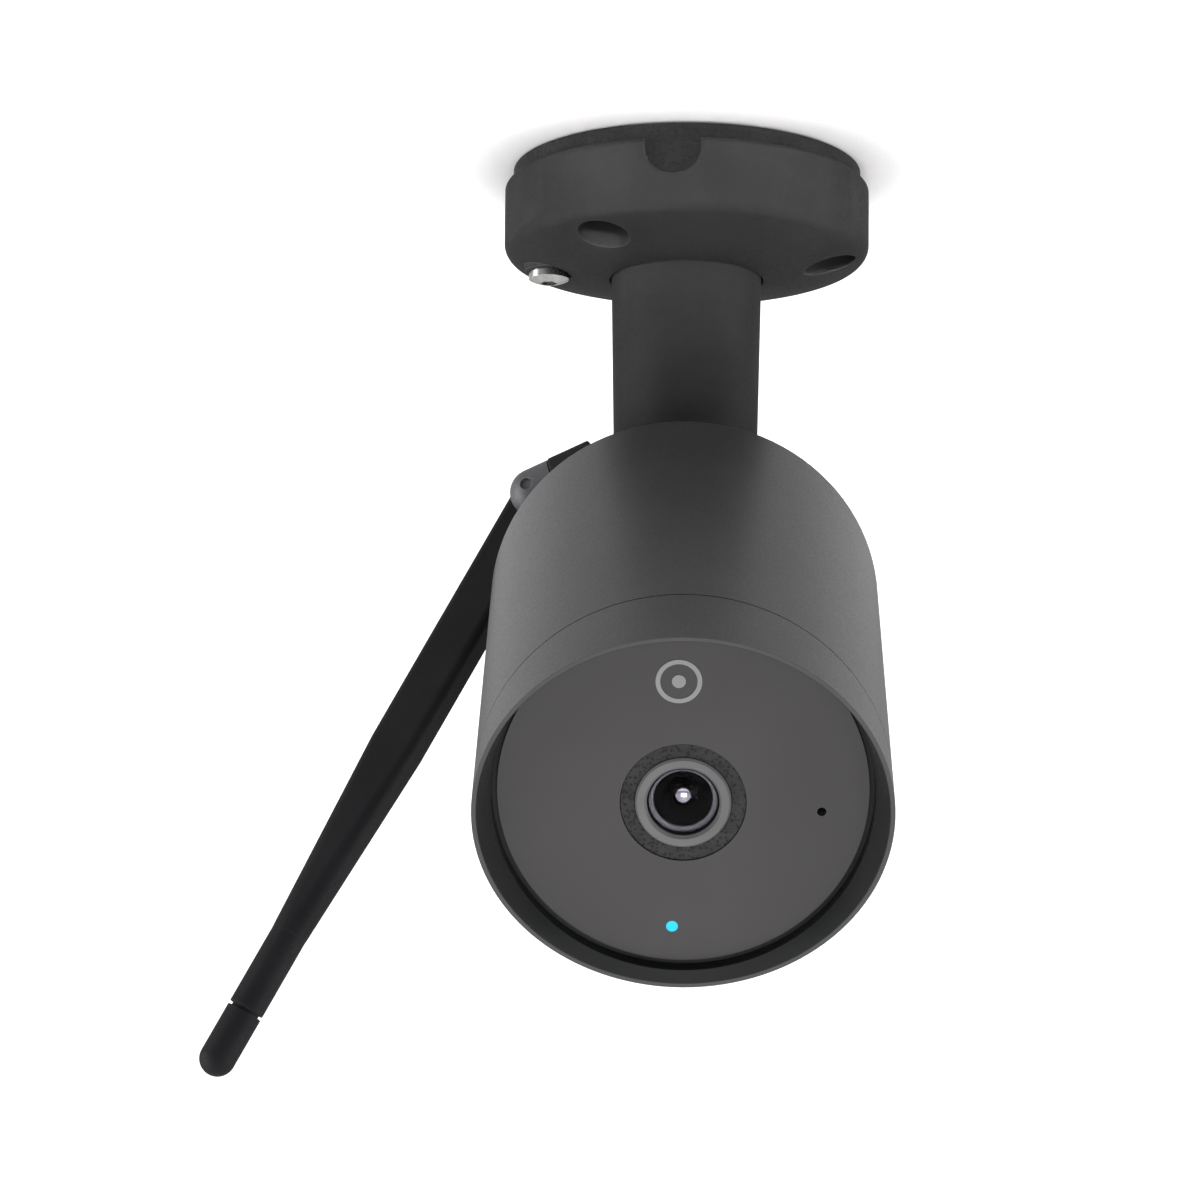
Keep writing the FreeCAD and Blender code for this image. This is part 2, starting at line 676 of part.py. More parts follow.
def rear_cap():
    plug_radius = barrel_bore - size.slip_fit
    groove = plug_radius - size.slip_fit * 12
    plug_end = rim + size.cap_plug
    seal_low = rim + size.cap_plug / 3
    seal_high = rim + size.cap_plug * 2 / 3
    plate_radius = size.camera_radius - size.cap_inset
    cap = revolved("rear_cap_blank", [
        (0, plate_back), (plate_radius, plate_back), (plate_radius, rim), (plug_radius, rim),
        (plug_radius, seal_low), (groove, seal_low), (groove, seal_high),
        (plug_radius, seal_high), (plug_radius, plug_end), (cap_hollow, plug_end),
        (cap_hollow, rim), (0, rim)])
    rounded_edges(cap, size.cap_plate / 3,
                  lambda radius, height: is_near(radius, plate_radius.number)
                  and is_near(height, plate_back.number))
    solid = [cap]
    for side in (-1, 1):
        middle = (ear_start() + size.ear_thickness / 2) * side
        solid.append(block(size.ear_thickness, size.knuckle_radius * 2, plate_back + 1,
                           (middle, as_size(0), as_size(0))))
        start = middle - size.ear_thickness / 2
        solid.append(cylinder(size.knuckle_radius, size.ear_thickness, (start, 0, 0), ALONG_X))
    solid.append(antenna_socket())
    pedestal = socket_middle()
    solid.append(cylinder(size.pedestal_radius, plate_back - size.antenna_z + 1,
                          (pedestal[0], pedestal[1], size.antenna_z)))
    hollow = [cylinder(size.tilt_shank + size.slip_fit / 2, LONG, (-LONG / 2, 0, 0), ALONG_X)]
    for angle in CAP_SCREW_ANGLES:
        spot = polar(cap_screw_circle, angle)
        hollow.append(cylinder(size.cap_screw + size.slip_fit, LONG, (*spot, 0)))
        hollow.append(cylinder(size.cap_screw_head + size.slip_fit, LONG,
                               (*spot, plate_back + size.cap_screw_head_height - LONG)))
    hollow.append(cylinder(size.cable_hole, LONG, (0, -gland_offset, 0)))
    hollow.append(stub_bore())
    return node("rear_cap", cut(fuse(*solid), *hollow), camera_frame)


def along_swivel(distance):
    """A spot on the antenna's swivel axis, measured back from the hinge pin toward the socket."""
    distance = as_size(distance)
    return (antenna_x + cosine(size.antenna_dip) * distance,
            antenna_y + sine(size.antenna_dip) * distance,
            size.antenna_z)


SWIVEL_TURN = Rotation(Z_AXIS, -swivel_axis)


def antenna_socket():
    return cylinder(size.socket_radius, size.socket_length, along_swivel(size.knuckle_reach),
                    SWIVEL_TURN)


def socket_middle():
    return along_swivel(size.knuckle_reach + size.socket_length - size.pedestal_radius
                        - size.pedestal_inset)


def stub_bore():
    """The socket's bore: a turning fit for the stub, with room for the connector behind it."""
    return cylinder(size.antenna_stub + size.running_fit, size.socket_length - 1.5,
                    along_swivel(size.knuckle_reach - 0.01), SWIVEL_TURN)


def rear_seal():
    outer = barrel_bore
    inner = barrel_bore - size.slip_fit * 13
    return node("rear_seal", ring("rear_seal", inner, outer, rim + size.cap_plug / 3,
                                  rim + size.cap_plug * 2 / 3), camera_frame)


def rear_cap_screws():
    length = size.cap_plate + size.cap_plug + size.boss_length * 0.75
    head_seat = plate_back + size.cap_screw_head_height
    pieces = [screw(size.cap_screw, length - size.cap_screw_head_height, size.cap_screw_head,
                    size.cap_screw_head_height, (*polar(cap_screw_circle, angle), head_seat),
                    TO_MINUS_Z)
              for angle in CAP_SCREW_ANGLES]
    return group("rear_cap_screws", pieces, camera_frame)


def cable_gland():
    body = revolved("cable_gland", [
        (size.cable_bore, plate_back - 4), (size.cable_hole, plate_back - 4),
        (size.cable_hole + 1.5, plate_back - 2), (size.cable_hole + 1.5, plate_back),
        (size.cable_hole, plate_back), (size.cable_hole, rim), (size.cable_bore, rim)])
    shift = Placement(Vector(0, -gland_offset.number, 0), Rotation())
    return node("cable_gland", body, camera_frame.multiply(shift))


def bay_box(shrink, low, high):
    """A box over the card bay, `shrink` inside the opening, between two heights below the axis."""
    start = rim + size.bay_start + shrink
    return block((size.bay_half_width - shrink) * 2, high - low, size.bay_length - shrink * 2,
                 (as_size(0), (low + high) / 2, start))


def main_barrel():
    tube = ring("barrel_tube", barrel_bore, size.camera_radius, rim, barrel_front)
    rounded_edges(tube, size.barrel_wall / 4,
                  lambda radius, height: is_near(radius, size.camera_radius.number)
                  and is_near(height, rim.number))
    solid = [tube]
    hollow = [bay_box(as_size(0), -size.camera_radius * 1.2, -size.camera_radius * 0.6)]
    boss_start = rim + size.cap_plug + size.slip_fit
    for angle in CAP_SCREW_ANGLES:
        spot = polar(cap_screw_circle, angle)
        solid.append(cylinder(size.boss_radius, size.boss_length, (*spot, boss_start)))
        hollow.append(cylinder(size.cap_screw, size.boss_length * 0.75 + 0.5, (*spot, boss_start)))
    outside = cylinder(size.camera_radius, size.barrel_length, (0, 0, rim))
    return node("main_barrel", common(cut(fuse(*solid), *hollow), outside), camera_frame)


def bay_shell(name, inner, outer, shrink):
    """A curved piece of wall over the card bay."""
    start = rim + size.bay_start + shrink
    wall = ring(name, inner, outer, start, start + size.bay_length - shrink * 2)
    return common(wall, bay_box(shrink, -size.camera_radius * 1.2, -size.camera_radius * 0.6))


def cover_screw_spots():
    inset = size.bay_ledge * 0.75
    return (rim + size.bay_start + inset, rim + size.bay_start + size.bay_length - inset)


def card_bay_frame():
    """The ledge inside the barrel that the card cover is screwed to."""
    outer = bay_shell("bay_frame_wall", barrel_bore - size.barrel_wall, barrel_bore, -size.bay_ledge)
    window = bay_box(size.bay_ledge * 1.5, -size.camera_radius * 1.2, -size.camera_radius * 0.6)
    holes = [cylinder(size.small_screw, LONG, (0, -LONG, spot), ALONG_Y)
             for spot in cover_screw_spots()]
    return node("card_bay_frame", cut(outer, window, *holes), camera_frame)


def card_cover():
    skin = bay_shell("cover_wall", barrel_bore + size.cover_gap * 2, size.camera_radius,
                     size.cover_gap)
    holes = []
    for spot in cover_screw_spots():
        holes.append(cylinder(size.small_screw, LONG, (0, -LONG, spot), ALONG_Y))
        head_floor = -(barrel_bore + size.cover_gap * 2 + 0.4)
        holes.append(cylinder(size.small_head, LONG, (0, head_floor - LONG, spot), ALONG_Y))
    return node("card_cover", cut(skin, *holes), camera_frame)


def card_cover_seal():
    """A thin rubber frame between the cover and its ledge."""
    sheet_piece = bay_shell("cover_seal_wall", barrel_bore, barrel_bore + size.cover_gap * 2,
                            size.cover_gap)
    window = bay_box(size.bay_ledge * 1.5, -size.camera_radius * 1.2, -size.camera_radius * 0.6)
    holes = [cylinder(size.small_screw, LONG, (0, -LONG, spot), ALONG_Y)
             for spot in cover_screw_spots()]
    return node("card_cover_seal", cut(sheet_piece, window, *holes), camera_frame)


def card_cover_screws():
    seat = -(barrel_bore + size.cover_gap * 2 + 0.4)
    pieces = [screw(size.small_screw, size.barrel_wall * 2, size.small_head,
                    size.small_head_height * 0.8, (0, seat, spot), Rotation(X_AXIS, 90))
              for spot in cover_screw_spots()]
    return group("card_cover_screws", pieces, camera_frame)


# ---------------------------------------------------------------- hood and window

def slanted_frame(distance):
    """The plane of the hood rim, `distance` in front of its middle."""
    middle = window_face + hood_reach
    turn = Rotation(X_AXIS, size.hood_slant.number)
    spot = Vector(0, 0, middle.number) + turn.multVec(Vector(0, 0, distance))
    return Placement(spot, turn)


def hood_ring():
    spigot_radius = barrel_bore - size.slip_fit
    spigot_end = window_face - size.hood_spigot
    ledge = window_face + size.hood_ledge
    top = window_face + hood_reach + hood_rise * 2
    outside = revolved("hood_blank", [
        (hood_bore, spigot_end), (spigot_radius, spigot_end),
        (spigot_radius, window_face), (size.camera_radius, window_face),
        (size.camera_radius, top), (0, top), (0, ledge), (hood_bore, ledge)])
    ahead = doc.addObject("Part::Box", "hood_trim")
    for prop in ("Length", "Width", "Height"):
        bind(ahead, prop, size.camera_radius * 4)
    half = size.camera_radius.number * 2
    ahead.Placement = slanted_frame(0).multiply(Placement(Vector(-half, -half, 0), Rotation()))
    mouth = doc.addObject("Part::Ellipse", "hood_mouth")
    lip_radius = size.camera_radius - size.hood_lip
    bind(mouth, "MajorRadius", lip_radius / cosine(size.hood_slant))
    bind(mouth, "MinorRadius", lip_radius)
    mouth.Placement = slanted_frame(0).multiply(Placement(Vector(), Rotation(Z_AXIS, 90)))
    throat = doc.addObject("Part::Circle", "hood_throat")
    bind(throat, "Radius", hood_bore)
    put(throat, (0, 0, ledge), Rotation(Z_AXIS, 90))
    flare = doc.addObject("Part::Loft", "hood_flare")
    flare.Sections = [throat, mouth]
    flare.Solid = True
    flare.Ruled = True
    return node("hood_ring", cut(cut(outside, ahead), flare), camera_frame)


def window_seal():
    low = window_face - size.window_thickness - 0.9
    high = window_face - size.window_thickness * 0.45
    return node("window_seal", ring("window_seal", window_radius, hood_bore, low, high),
                camera_frame)


def lens_spot(height):
    return (as_size(0), -size.lens_drop, height)


def front_window():
    back = window_face - size.window_thickness
    blank = disc("window_blank", window_radius, back, window_face)
    openings = [
        cylinder(size.lens_opening, LONG, lens_spot(as_size(0))),
        cylinder(size.status_radius, LONG, (size.status_x, status_y, 0)),
        cylinder(size.microphone_hole, LONG, (microphone_x, size.microphone_y, 0)),
    ]
    return node("front_window", cut(blank, *openings), camera_frame)


def front_mark():
    """A plain ring and dot printed on the window."""
    thickness = 0.1
    band = ring("mark_ring", size.mark_radius * 0.8, size.mark_radius, window_face,
                window_face + thickness)
    dot = disc("mark_dot", size.mark_radius * 0.3, window_face, window_face + thickness)
    shift = Placement(Vector(size.mark_x.number, mark_y.number, 0), Rotation())
    return group("front_mark", [band, dot], camera_frame.multiply(shift))


carrier_back = window_face - size.window_thickness - size.carrier_thickness
led_board_front = carrier_back - size.led_board_gap


def front_carrier():
    radius = hood_bore - size.slip_fit * 2
    blank = disc("carrier_blank", radius, carrier_back, window_face - size.window_thickness)
    rebate = ring("carrier_rebate", window_radius - 0.6, radius + 1,
                  window_face - size.window_thickness - 0.9, window_face)
    openings = [
        rebate,
        cylinder(size.lens_opening + 0.5, LONG, lens_spot(as_size(0))),
        cylinder(size.status_radius, LONG, (size.status_x, status_y, 0)),
        cylinder(size.microphone_hole, LONG, (microphone_x, size.microphone_y, 0)),
    ]
    for angle in INFRARED_ANGLES:
        openings.append(cylinder(size.infrared_radius + 0.6, LONG,
                                 (*polar(infrared_circle, angle), 0)))
    return node("front_carrier", cut(blank, *openings), camera_frame)


def infrared_board():
    blank = disc("infrared_board_blank", led_board_radius,
                 led_board_front - size.board_thickness, led_board_front)
    opening = cylinder(size.lens_opening + 0.5, LONG, lens_spot(as_size(0)))
    return node("infrared_board", cut(blank, opening), camera_frame)


def infrared_lamps():
    lamps = []
    for angle in INFRARED_ANGLES:
        lamp = revolved("infrared_lamp", [
            (0, 0), (size.infrared_radius + 0.4, 0), (size.infrared_radius + 0.4, 1),
            (size.infrared_radius, 1), (size.infrared_radius, 2.5, "dome"), (0, 4.2)])
        spot = polar(infrared_circle, angle)
        lamp.Placement = Placement(
            Vector(spot[0].number, spot[1].number, led_board_front.number), Rotation())
        lamps.append(lamp)
    return group("infrared_lamps", lamps, camera_frame)


def status_light():
    length = window_face - 0.1 - led_board_front
    pipe = cylinder(size.status_radius - 0.02, length,
                    (size.status_x, status_y, led_board_front))
    return node("status_light", pipe, camera_frame)


def microphone():
    length = size.led_board_gap
    can = cylinder(size.microphone_hole * 2.5, length,
                   (microphone_x, size.microphone_y, led_board_front))
    port = cylinder(size.microphone_hole * 0.6, LONG,
                    (microphone_x, size.microphone_y, carrier_back - 1))
    return node("microphone", cut(can, port), camera_frame)


def light_sensor():
    chip = block(3, 2.4, 1.4, (as_size(13), size.sensor_inset - window_radius, led_board_front))
    return node("light_sensor", chip, camera_frame)


# ---------------------------------------------------------------- lens and sensor

HOLDER_LENGTH = 15.0


def camera_module_base():
    return window_face - 33.5


def sensor_board():
    plate = block(30, 30, size.board_thickness,
                  lens_spot(camera_module_base() - size.board_thickness))
    return node("sensor_board", plate, camera_frame)


def image_sensor():
    chip = block(9.6, 7.2, 1.2, lens_spot(camera_module_base()))
    return node("image_sensor", chip, camera_frame)


def lens_holder():
    low = camera_module_base()
    outer = block(19, 19, HOLDER_LENGTH, lens_spot(low))
    bore = cylinder(size.lens_body, LONG, lens_spot(low + 3))
    pocket = block(14, 14, 3.0, lens_spot(low))
    return node("lens_holder", cut(outer, bore, pocket), camera_frame)


def lens_barrel():
    face = window_face + 0.35
    seat = face - 2.2
    tube = revolved("lens_tube", [
        (size.lens_glass - 1.2, face - 27), (size.lens_body, face - 27), (size.lens_body, face - 8),
        (size.lens_ring - 0.8, face - 8), (size.lens_ring - 0.8, face - 3.4),
        (size.lens_ring, face - 3.4), (size.lens_ring, face - 0.4), (size.lens_ring - 0.4, face),
        (size.lens_glass + 0.5, face), (size.lens_glass, face - 0.6), (size.lens_glass, seat),
        (size.lens_glass - 1.2, seat)])
    shift = Placement(Vector(0, -size.lens_drop.number, 0), Rotation())
    return node("lens_barrel", tube, camera_frame.multiply(shift))


def lens_front_element():
    face = window_face + 0.35
    seat = face - 2.2
    glass = revolved("lens_front_element", [
        (0, seat), (size.lens_glass - 0.02, seat), (size.lens_glass - 0.02, face - 1.5, "dome"),
        (0, face + 0.6)])
    shift = Placement(Vector(0, -size.lens_drop.number, 0), Rotation())
    return node("lens_front_element", glass, camera_frame.multiply(shift))


def lens_rear_element():
    low = camera_module_base() + 8
    glass = revolved("lens_rear_element", [
        (0, low), (size.lens_glass - 1.22, low), (size.lens_glass - 1.22, low + 1.5, "dome"),
        (0, low + 3)])
    shift = Placement(Vector(0, -size.lens_drop.number, 0), Rotation())
    return node("lens_rear_element", glass, camera_frame.multiply(shift))


def lens_foam_ring():
    foam = ring("lens_foam_ring", size.lens_ring + 0.1, size.lens_opening - 0.1,
                led_board_front + 2, window_face - 0.25)
    shift = Placement(Vector(0, -size.lens_drop.number, 0), Rotation())
    return node("lens_foam_ring", foam, camera_frame.multiply(shift))


# ---------------------------------------------------------------- boards and card bay

tray_front = camera_module_base() - 6
tray_back = rim + size.cap_plug + size.tray_gap
tray_length = tray_front - tray_back
tray_middle = tray_back + tray_length / 2
tray_top = -size.tray_drop + size.tray_thickness
BOARD_INSET = 4.0


def board_screw_spots():
    across = size.tray_half_width - BOARD_INSET
    return [(across * side, along) for side in (-1, 1)
            for along in (tray_back + BOARD_INSET, tray_front - BOARD_INSET)]


def chassis_tray():
    middle = -size.tray_drop + size.tray_thickness / 2
    plate = block(size.tray_half_width * 2, size.tray_thickness, tray_length,
                  (as_size(0), middle, tray_back))
    pillars = [cylinder(2.4, size.board_lift + size.tray_thickness, (across, -size.tray_drop, along),
                        ALONG_Y)
               for across, along in board_screw_spots()]
    holes = [cylinder(size.small_screw, LONG, (across, -size.tray_drop, along), ALONG_Y)
             for across, along in board_screw_spots()]
    strut_length = led_board_front - size.board_thickness - tray_front
    struts = [block(4, size.tray_thickness, strut_length + 1, (across * side, middle, tray_front - 1))
              for across in (size.tray_half_width - 2,) for side in (-1, 1)]
    return node("chassis_tray", cut(fuse(plate, *pillars, *struts), *holes), camera_frame)


def main_board():
    low = tray_top + size.board_lift
    plate = block(size.tray_half_width * 2 - 1, size.board_thickness, tray_length - 1,
                  (as_size(0), low + size.board_thickness / 2, tray_back + 0.5))
    holes = [cylinder(size.small_screw + size.slip_fit, LONG, (across, -size.tray_drop, along), ALONG_Y)
             for across, along in board_screw_spots()]
    return node("main_board", cut(plate, *holes), camera_frame)


def board_top():
    return tray_top + size.board_lift + size.board_thickness


def board_screws():
    pieces = [screw(size.small_screw, size.board_thickness + size.board_lift, size.small_head,
                    size.small_head_height, (across, board_top(), along), ALONG_Y)
              for across, along in board_screw_spots()]
    return group("board_screws", pieces, camera_frame)


def main_processor():
    chip = block(14, 1.4, 14, (as_size(4), board_top() + 0.7, tray_middle - 2))
    return node("main_processor", chip, camera_frame)


def heat_spreader():
    low = board_top() + 1.4
    plate = block(20, 2, 20, (as_size(4), low + 1, tray_middle - 5))
    fins = [block(1.4, 6, 20, (as_size(-4.5 + index * 4.25), low + 4, tray_middle - 5))
            for index in range(5)]
    return node("heat_spreader", fuse(plate, *fins), camera_frame)


def wifi_module():
    shield = block(12, 2.2, 16, (as_size(-14), board_top() + 1.1, tray_middle - 8))
    return node("wifi_module", shield, camera_frame)


card_board_low = barrel_bore * -1 + 7.5
BAY_MIDDLE = rim + size.bay_start + size.bay_length / 2


def card_board():
    plate = block(24, size.board_thickness, 26,
                  (as_size(0), card_board_low + size.board_thickness / 2, BAY_MIDDLE - 13))
    return node("card_board", plate, camera_frame)


def card_board_posts():
    """Four pillars that hang the card board from the chassis tray."""
    top = card_board_low + size.board_thickness
    length = -size.tray_drop - top
    posts = [cylinder(1.8, length, (as_size(9.5 * side), top, BAY_MIDDLE + 9 * end), ALONG_Y)
             for side in (-1, 1) for end in (-1, 1)]
    return group("card_board_posts", posts, camera_frame)


def card_socket():
    socket = block(14, 1.9, 15, (as_size(0), card_board_low - 0.95, BAY_MIDDLE - 11))
    slot = block(11.2, 0.9, 14, (as_size(0), card_board_low - 1.0, BAY_MIDDLE - 12))
    return node("card_socket", cut(socket, slot), camera_frame)


def button_spot():
    return (as_size(0), BAY_MIDDLE + 8)


def reset_switch():
    across, along = button_spot()
    body = block(5, 2.5, 5, (across, card_board_low - 1.25, along - 2.5))
    well = cylinder(size.button_radius + size.slip_fit, 1.5,
                    (across, card_board_low - 2.6, along), ALONG_Y)
    return node("reset_switch", cut(body, well), camera_frame)


def reset_button():
    across, along = button_spot()
    well_floor = card_board_low - 2.6 + 1.5
    plunger = cylinder(size.button_radius, 1.5 + size.button_travel,
                       (across, well_floor - size.button_travel * 2 - 1.5, along), ALONG_Y)
    return node("reset_button", plunger, camera_frame)


# ---------------------------------------------------------------- antenna

def antenna_connector():
    """The brass socket behind the swivel stub."""
    start = size.knuckle_reach + size.stub_length + 0.2
    length = size.socket_length - 1.5 - size.stub_length - 0.4
    plug = cylinder(size.antenna_stub, length, along_swivel(start), SWIVEL_TURN)
    return node("antenna_connector", plug, camera_frame)


def antenna_knuckle():
    """A round barrel with a domed end, cut flat where the blade laps it."""
    barrel = revolved("knuckle_blank", [
        (0, -(size.knuckle_reach + size.stub_length)),
        (size.antenna_stub, -(size.knuckle_reach + size.stub_length)),
        (size.antenna_stub, -(size.knuckle_reach - 0.3)),
        (size.antenna_knuckle, -(size.knuckle_reach - 0.3)),
        (size.antenna_knuckle, 0, "dome"), (0, size.antenna_knuckle)])
    depth = size.antenna_knuckle * 2
    flat = block(depth, depth * 2, depth * 1.5,
                 (-(depth / 2 + size.lap_half_gap), as_size(0), -(size.knuckle_reach - 0.3)))
    hole = cylinder(size.hinge_pin, LONG, (-LONG / 2, 0, 0), ALONG_X)
    return node("antenna_knuckle", cut(barrel, flat, hole), knuckle_frame)


def antenna_hinge_pin():
    start = -(size.lap_half_gap + size.blade_thickness)
    length = size.antenna_knuckle - start
    shaft = cylinder(size.hinge_pin, length - 0.8, (start, 0, 0), ALONG_X)
    return node("antenna_hinge_pin", shaft, knuckle_frame)


def rounded_section(body, name, width, thickness, corner, along):
    """A rounded rectangle across the blade, `along` from the hinge pin."""
    sketch = sketch_on(body, "XY_Plane", name)
    sketch.AttachmentOffset = Placement(Vector(0, 0, along.number), Rotation())
    bind(sketch, "AttachmentOffset.Base.z", along)
    middle = -(size.lap_half_gap + size.blade_thickness / 2)
    half_t = (thickness / 2).number
    half_w = (width / 2).number
    r = corner.number
    x0 = middle.number
    quarter = math.pi / 2
    inner_x = (half_t - r) * 1.0
    inner_y = (half_w - r) * 1.0
    centres = [(x0 + inner_x, inner_y), (x0 - inner_x, inner_y),
               (x0 - inner_x, -inner_y), (x0 + inner_x, -inner_y)]
    arcs = [Part.ArcOfCircle(Part.Circle(Vector(cx, cy, 0), Z_AXIS, r), index * quarter,
                             (index + 1) * quarter)
            for index, (cx, cy) in enumerate(centres)]
    ids = []
    for index, arc in enumerate(arcs):
        ids.append(sketch.addGeometry(arc, False))
        following = arcs[(index + 1) % 4]
        ids.append(sketch.addGeometry(Part.LineSegment(arc.EndPoint, following.StartPoint), False))
    for index in range(0, 8, 2):
        arc, line, after = ids[index], ids[index + 1], ids[(index + 2) % 8]
        sketch.addConstraint(Sketcher.Constraint("Tangent", arc, 2, line, 1))
        sketch.addConstraint(Sketcher.Constraint("Tangent", line, 2, after, 1))
        kind = "Horizontal" if index % 4 == 0 else "Vertical"
        sketch.addConstraint(Sketcher.Constraint(kind, line))
    for arc in (ids[2], ids[4], ids[6]):
        sketch.addConstraint(Sketcher.Constraint("Equal", ids[0], arc))
    index = sketch.addConstraint(Sketcher.Constraint("Radius", ids[0], r))
    sketch.setExpression(f"Constraints[{index}]", corner.formula)
    pin_point(sketch, ids[0], 3, middle + thickness / 2 - corner, width / 2 - corner)
    index = sketch.addConstraint(
        Sketcher.Constraint("DistanceX", ids[2], 3, ids[0], 3, 2 * inner_x))
    sketch.setExpression(f"Constraints[{index}]", (thickness - corner * 2).formula)
    index = sketch.addConstraint(
        Sketcher.Constraint("DistanceY", ids[6], 3, ids[0], 3, 2 * inner_y))
    sketch.setExpression(f"Constraints[{index}]", (width - corner * 2).formula)
    return sketch


def antenna_blade():
    """A paddle: a rounded root on the hinge pin, a flat stretch, a taper and a round tail."""
    body = doc.addObject("PartDesign::Body", "blade_body")
    corner = size.blade_round
    tail = size.tip_radius * 2
    tail_corner = size.tip_radius * 0.97
    spots = [as_size(0), size.blade_flat, size.blade_flat + size.blade_taper]
    sections = [
        rounded_section(body, "blade_root", size.blade_width, size.blade_thickness, corner, spots[0]),
        rounded_section(body, "blade_shoulder", size.blade_width, size.blade_thickness, corner,
                        spots[1]),
        rounded_section(body, "blade_neck", tail, tail, tail_corner, spots[2]),
    ]
    loft = body.newObject("PartDesign::AdditiveLoft", "blade_loft")
    loft.Profile = sections[0]
    loft.Sections = sections[1:]
    loft.Ruled = True
    middle = -(size.lap_half_gap + size.blade_thickness / 2)
    root = cylinder(size.blade_width / 2, size.blade_thickness,
                    (-(size.lap_half_gap + size.blade_thickness), 0, 0), ALONG_X)
    end = size.blade_flat + size.blade_taper
    tail_rod = cylinder(size.tip_radius, size.blade_tail, (middle, 0, end))
    core = cylinder(size.tip_radius - 0.7, size.blade_tail + size.tip_groove, (middle, 0, end))
    hole = cylinder(size.hinge_pin + size.running_fit, LONG, (-LONG / 2, 0, 0), ALONG_X)
    return node("antenna_blade", cut(fuse(body, root, tail_rod, core), hole), blade_frame)


def antenna_tip_cap():
    start = size.blade_flat + size.blade_taper + size.blade_tail + size.tip_groove
    cap = revolved("antenna_tip_cap", [
        (0, start), (size.tip_radius, start), (size.tip_radius, start + size.tip_cap, "dome"),
        (0, start + size.tip_cap + size.tip_radius)])
    middle = -(size.lap_half_gap + size.blade_thickness / 2)
    shift = Placement(Vector(middle.number, 0, 0), Rotation())
    return node("antenna_tip_cap", cap, blade_frame.multiply(shift))


# ---------------------------------------------------------------- build, check and write

BUILDERS = (
    ceiling_gasket, base_housing, notch_plug, friction_washer, swivel_retainer, retainer_screws,
    pan_lock_screw, stem, stem_grommet, tilt_washers, tilt_bolt, tilt_nut, rear_cap, rear_seal,
    rear_cap_screws, cable_gland, main_barrel, card_bay_frame, card_cover, card_cover_seal,
    card_cover_screws, hood_ring, window_seal, front_window, front_mark, front_carrier,
    infrared_board, infrared_lamps, status_light, microphone, light_sensor, sensor_board,
    image_sensor, lens_holder, lens_barrel, lens_front_element, lens_rear_element,
    lens_foam_ring, chassis_tray, main_board, board_screws, main_processor, heat_spreader,
    wifi_module, card_board, card_board_posts, card_socket, reset_switch, reset_button,
    antenna_connector, antenna_knuckle, antenna_hinge_pin, antenna_blade, antenna_tip_cap,
)


def main():
    for build in BUILDERS:
        build()
    doc.recompute()
    failed = [item.Label for item in doc.Objects if {"Invalid", "Error"} & set(item.State)]
    if failed:
        raise RuntimeError(f"features that failed: {failed}")
    for name, feature in nodes.items():
        if feature.Shape.isNull() or not feature.Shape.isValid():
            raise RuntimeError(f"{name} has no valid shape")
    os.makedirs("parts", exist_ok=True)
    for name, feature in nodes.items():
        feature.Shape.exportStep(f"parts/{name}.step")
        print(name, round(feature.Shape.Volume, 1), len(feature.Shape.Solids))


main()
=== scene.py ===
import json
import math
import random

import bmesh
import bpy
from mathutils import Matrix, Vector


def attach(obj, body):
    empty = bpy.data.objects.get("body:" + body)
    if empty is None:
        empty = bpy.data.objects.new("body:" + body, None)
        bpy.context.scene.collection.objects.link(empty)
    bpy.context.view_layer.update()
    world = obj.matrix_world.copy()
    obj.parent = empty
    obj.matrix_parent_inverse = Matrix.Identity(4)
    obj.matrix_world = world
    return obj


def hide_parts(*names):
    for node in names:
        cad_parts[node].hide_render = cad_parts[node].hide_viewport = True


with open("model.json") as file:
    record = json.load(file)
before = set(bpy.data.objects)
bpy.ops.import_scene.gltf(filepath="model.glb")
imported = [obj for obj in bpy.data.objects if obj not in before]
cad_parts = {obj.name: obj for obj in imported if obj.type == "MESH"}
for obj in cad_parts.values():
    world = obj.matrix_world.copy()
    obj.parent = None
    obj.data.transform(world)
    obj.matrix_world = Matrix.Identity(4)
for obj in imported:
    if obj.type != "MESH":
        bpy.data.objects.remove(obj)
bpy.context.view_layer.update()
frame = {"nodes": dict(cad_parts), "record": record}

# A ceiling security camera: painted base and stem, satin body with a hood, smoked front
# window, lens, and a folding paddle antenna. Lengths are metres unless a name says otherwise.

MM = 0.001


def hex_colour(code):
    """An sRGB hex colour as linear RGBA."""
    linear = []
    for start in (0, 2, 4):
        value = int(code[start:start + 2], 16) / 255
        linear.append(value / 12.92 if value <= 0.04045 else ((value + 0.055) / 1.055) ** 2.4)
    return (*linear, 1.0)


def add_node(tree, kind, inputs=None, **settings):
    """Adds a node with its settings, and sets or links its inputs."""
    added = tree.nodes.new(kind)
    for name, value in settings.items():
        setattr(added, name, value)
    for name, value in (inputs or {}).items():
        socket = added.inputs[name]
        if isinstance(value, bpy.types.NodeSocket):
            tree.links.new(value, socket)
        else:
            socket.default_value = value
    return added


# ---------------------------------------------------------------- the camera body's own frame

joints = {joint["name"]: joint for joint in frame["record"]["behaviour"]["joints"]}
TILT_AXIS = Vector(joints["camera_tilt"]["pos_m"])
BODY_UP = Vector(joints["reset_press"]["axis"]).normalized()
BODY_OUT = Vector((1, 0, 0)).cross(BODY_UP)
BODY_FRAME = Matrix.Translation(TILT_AXIS) @ Matrix((
    (1, BODY_UP.x, BODY_OUT.x), (0, BODY_UP.y, BODY_OUT.y), (0, BODY_UP.z, BODY_OUT.z))).to_4x4()


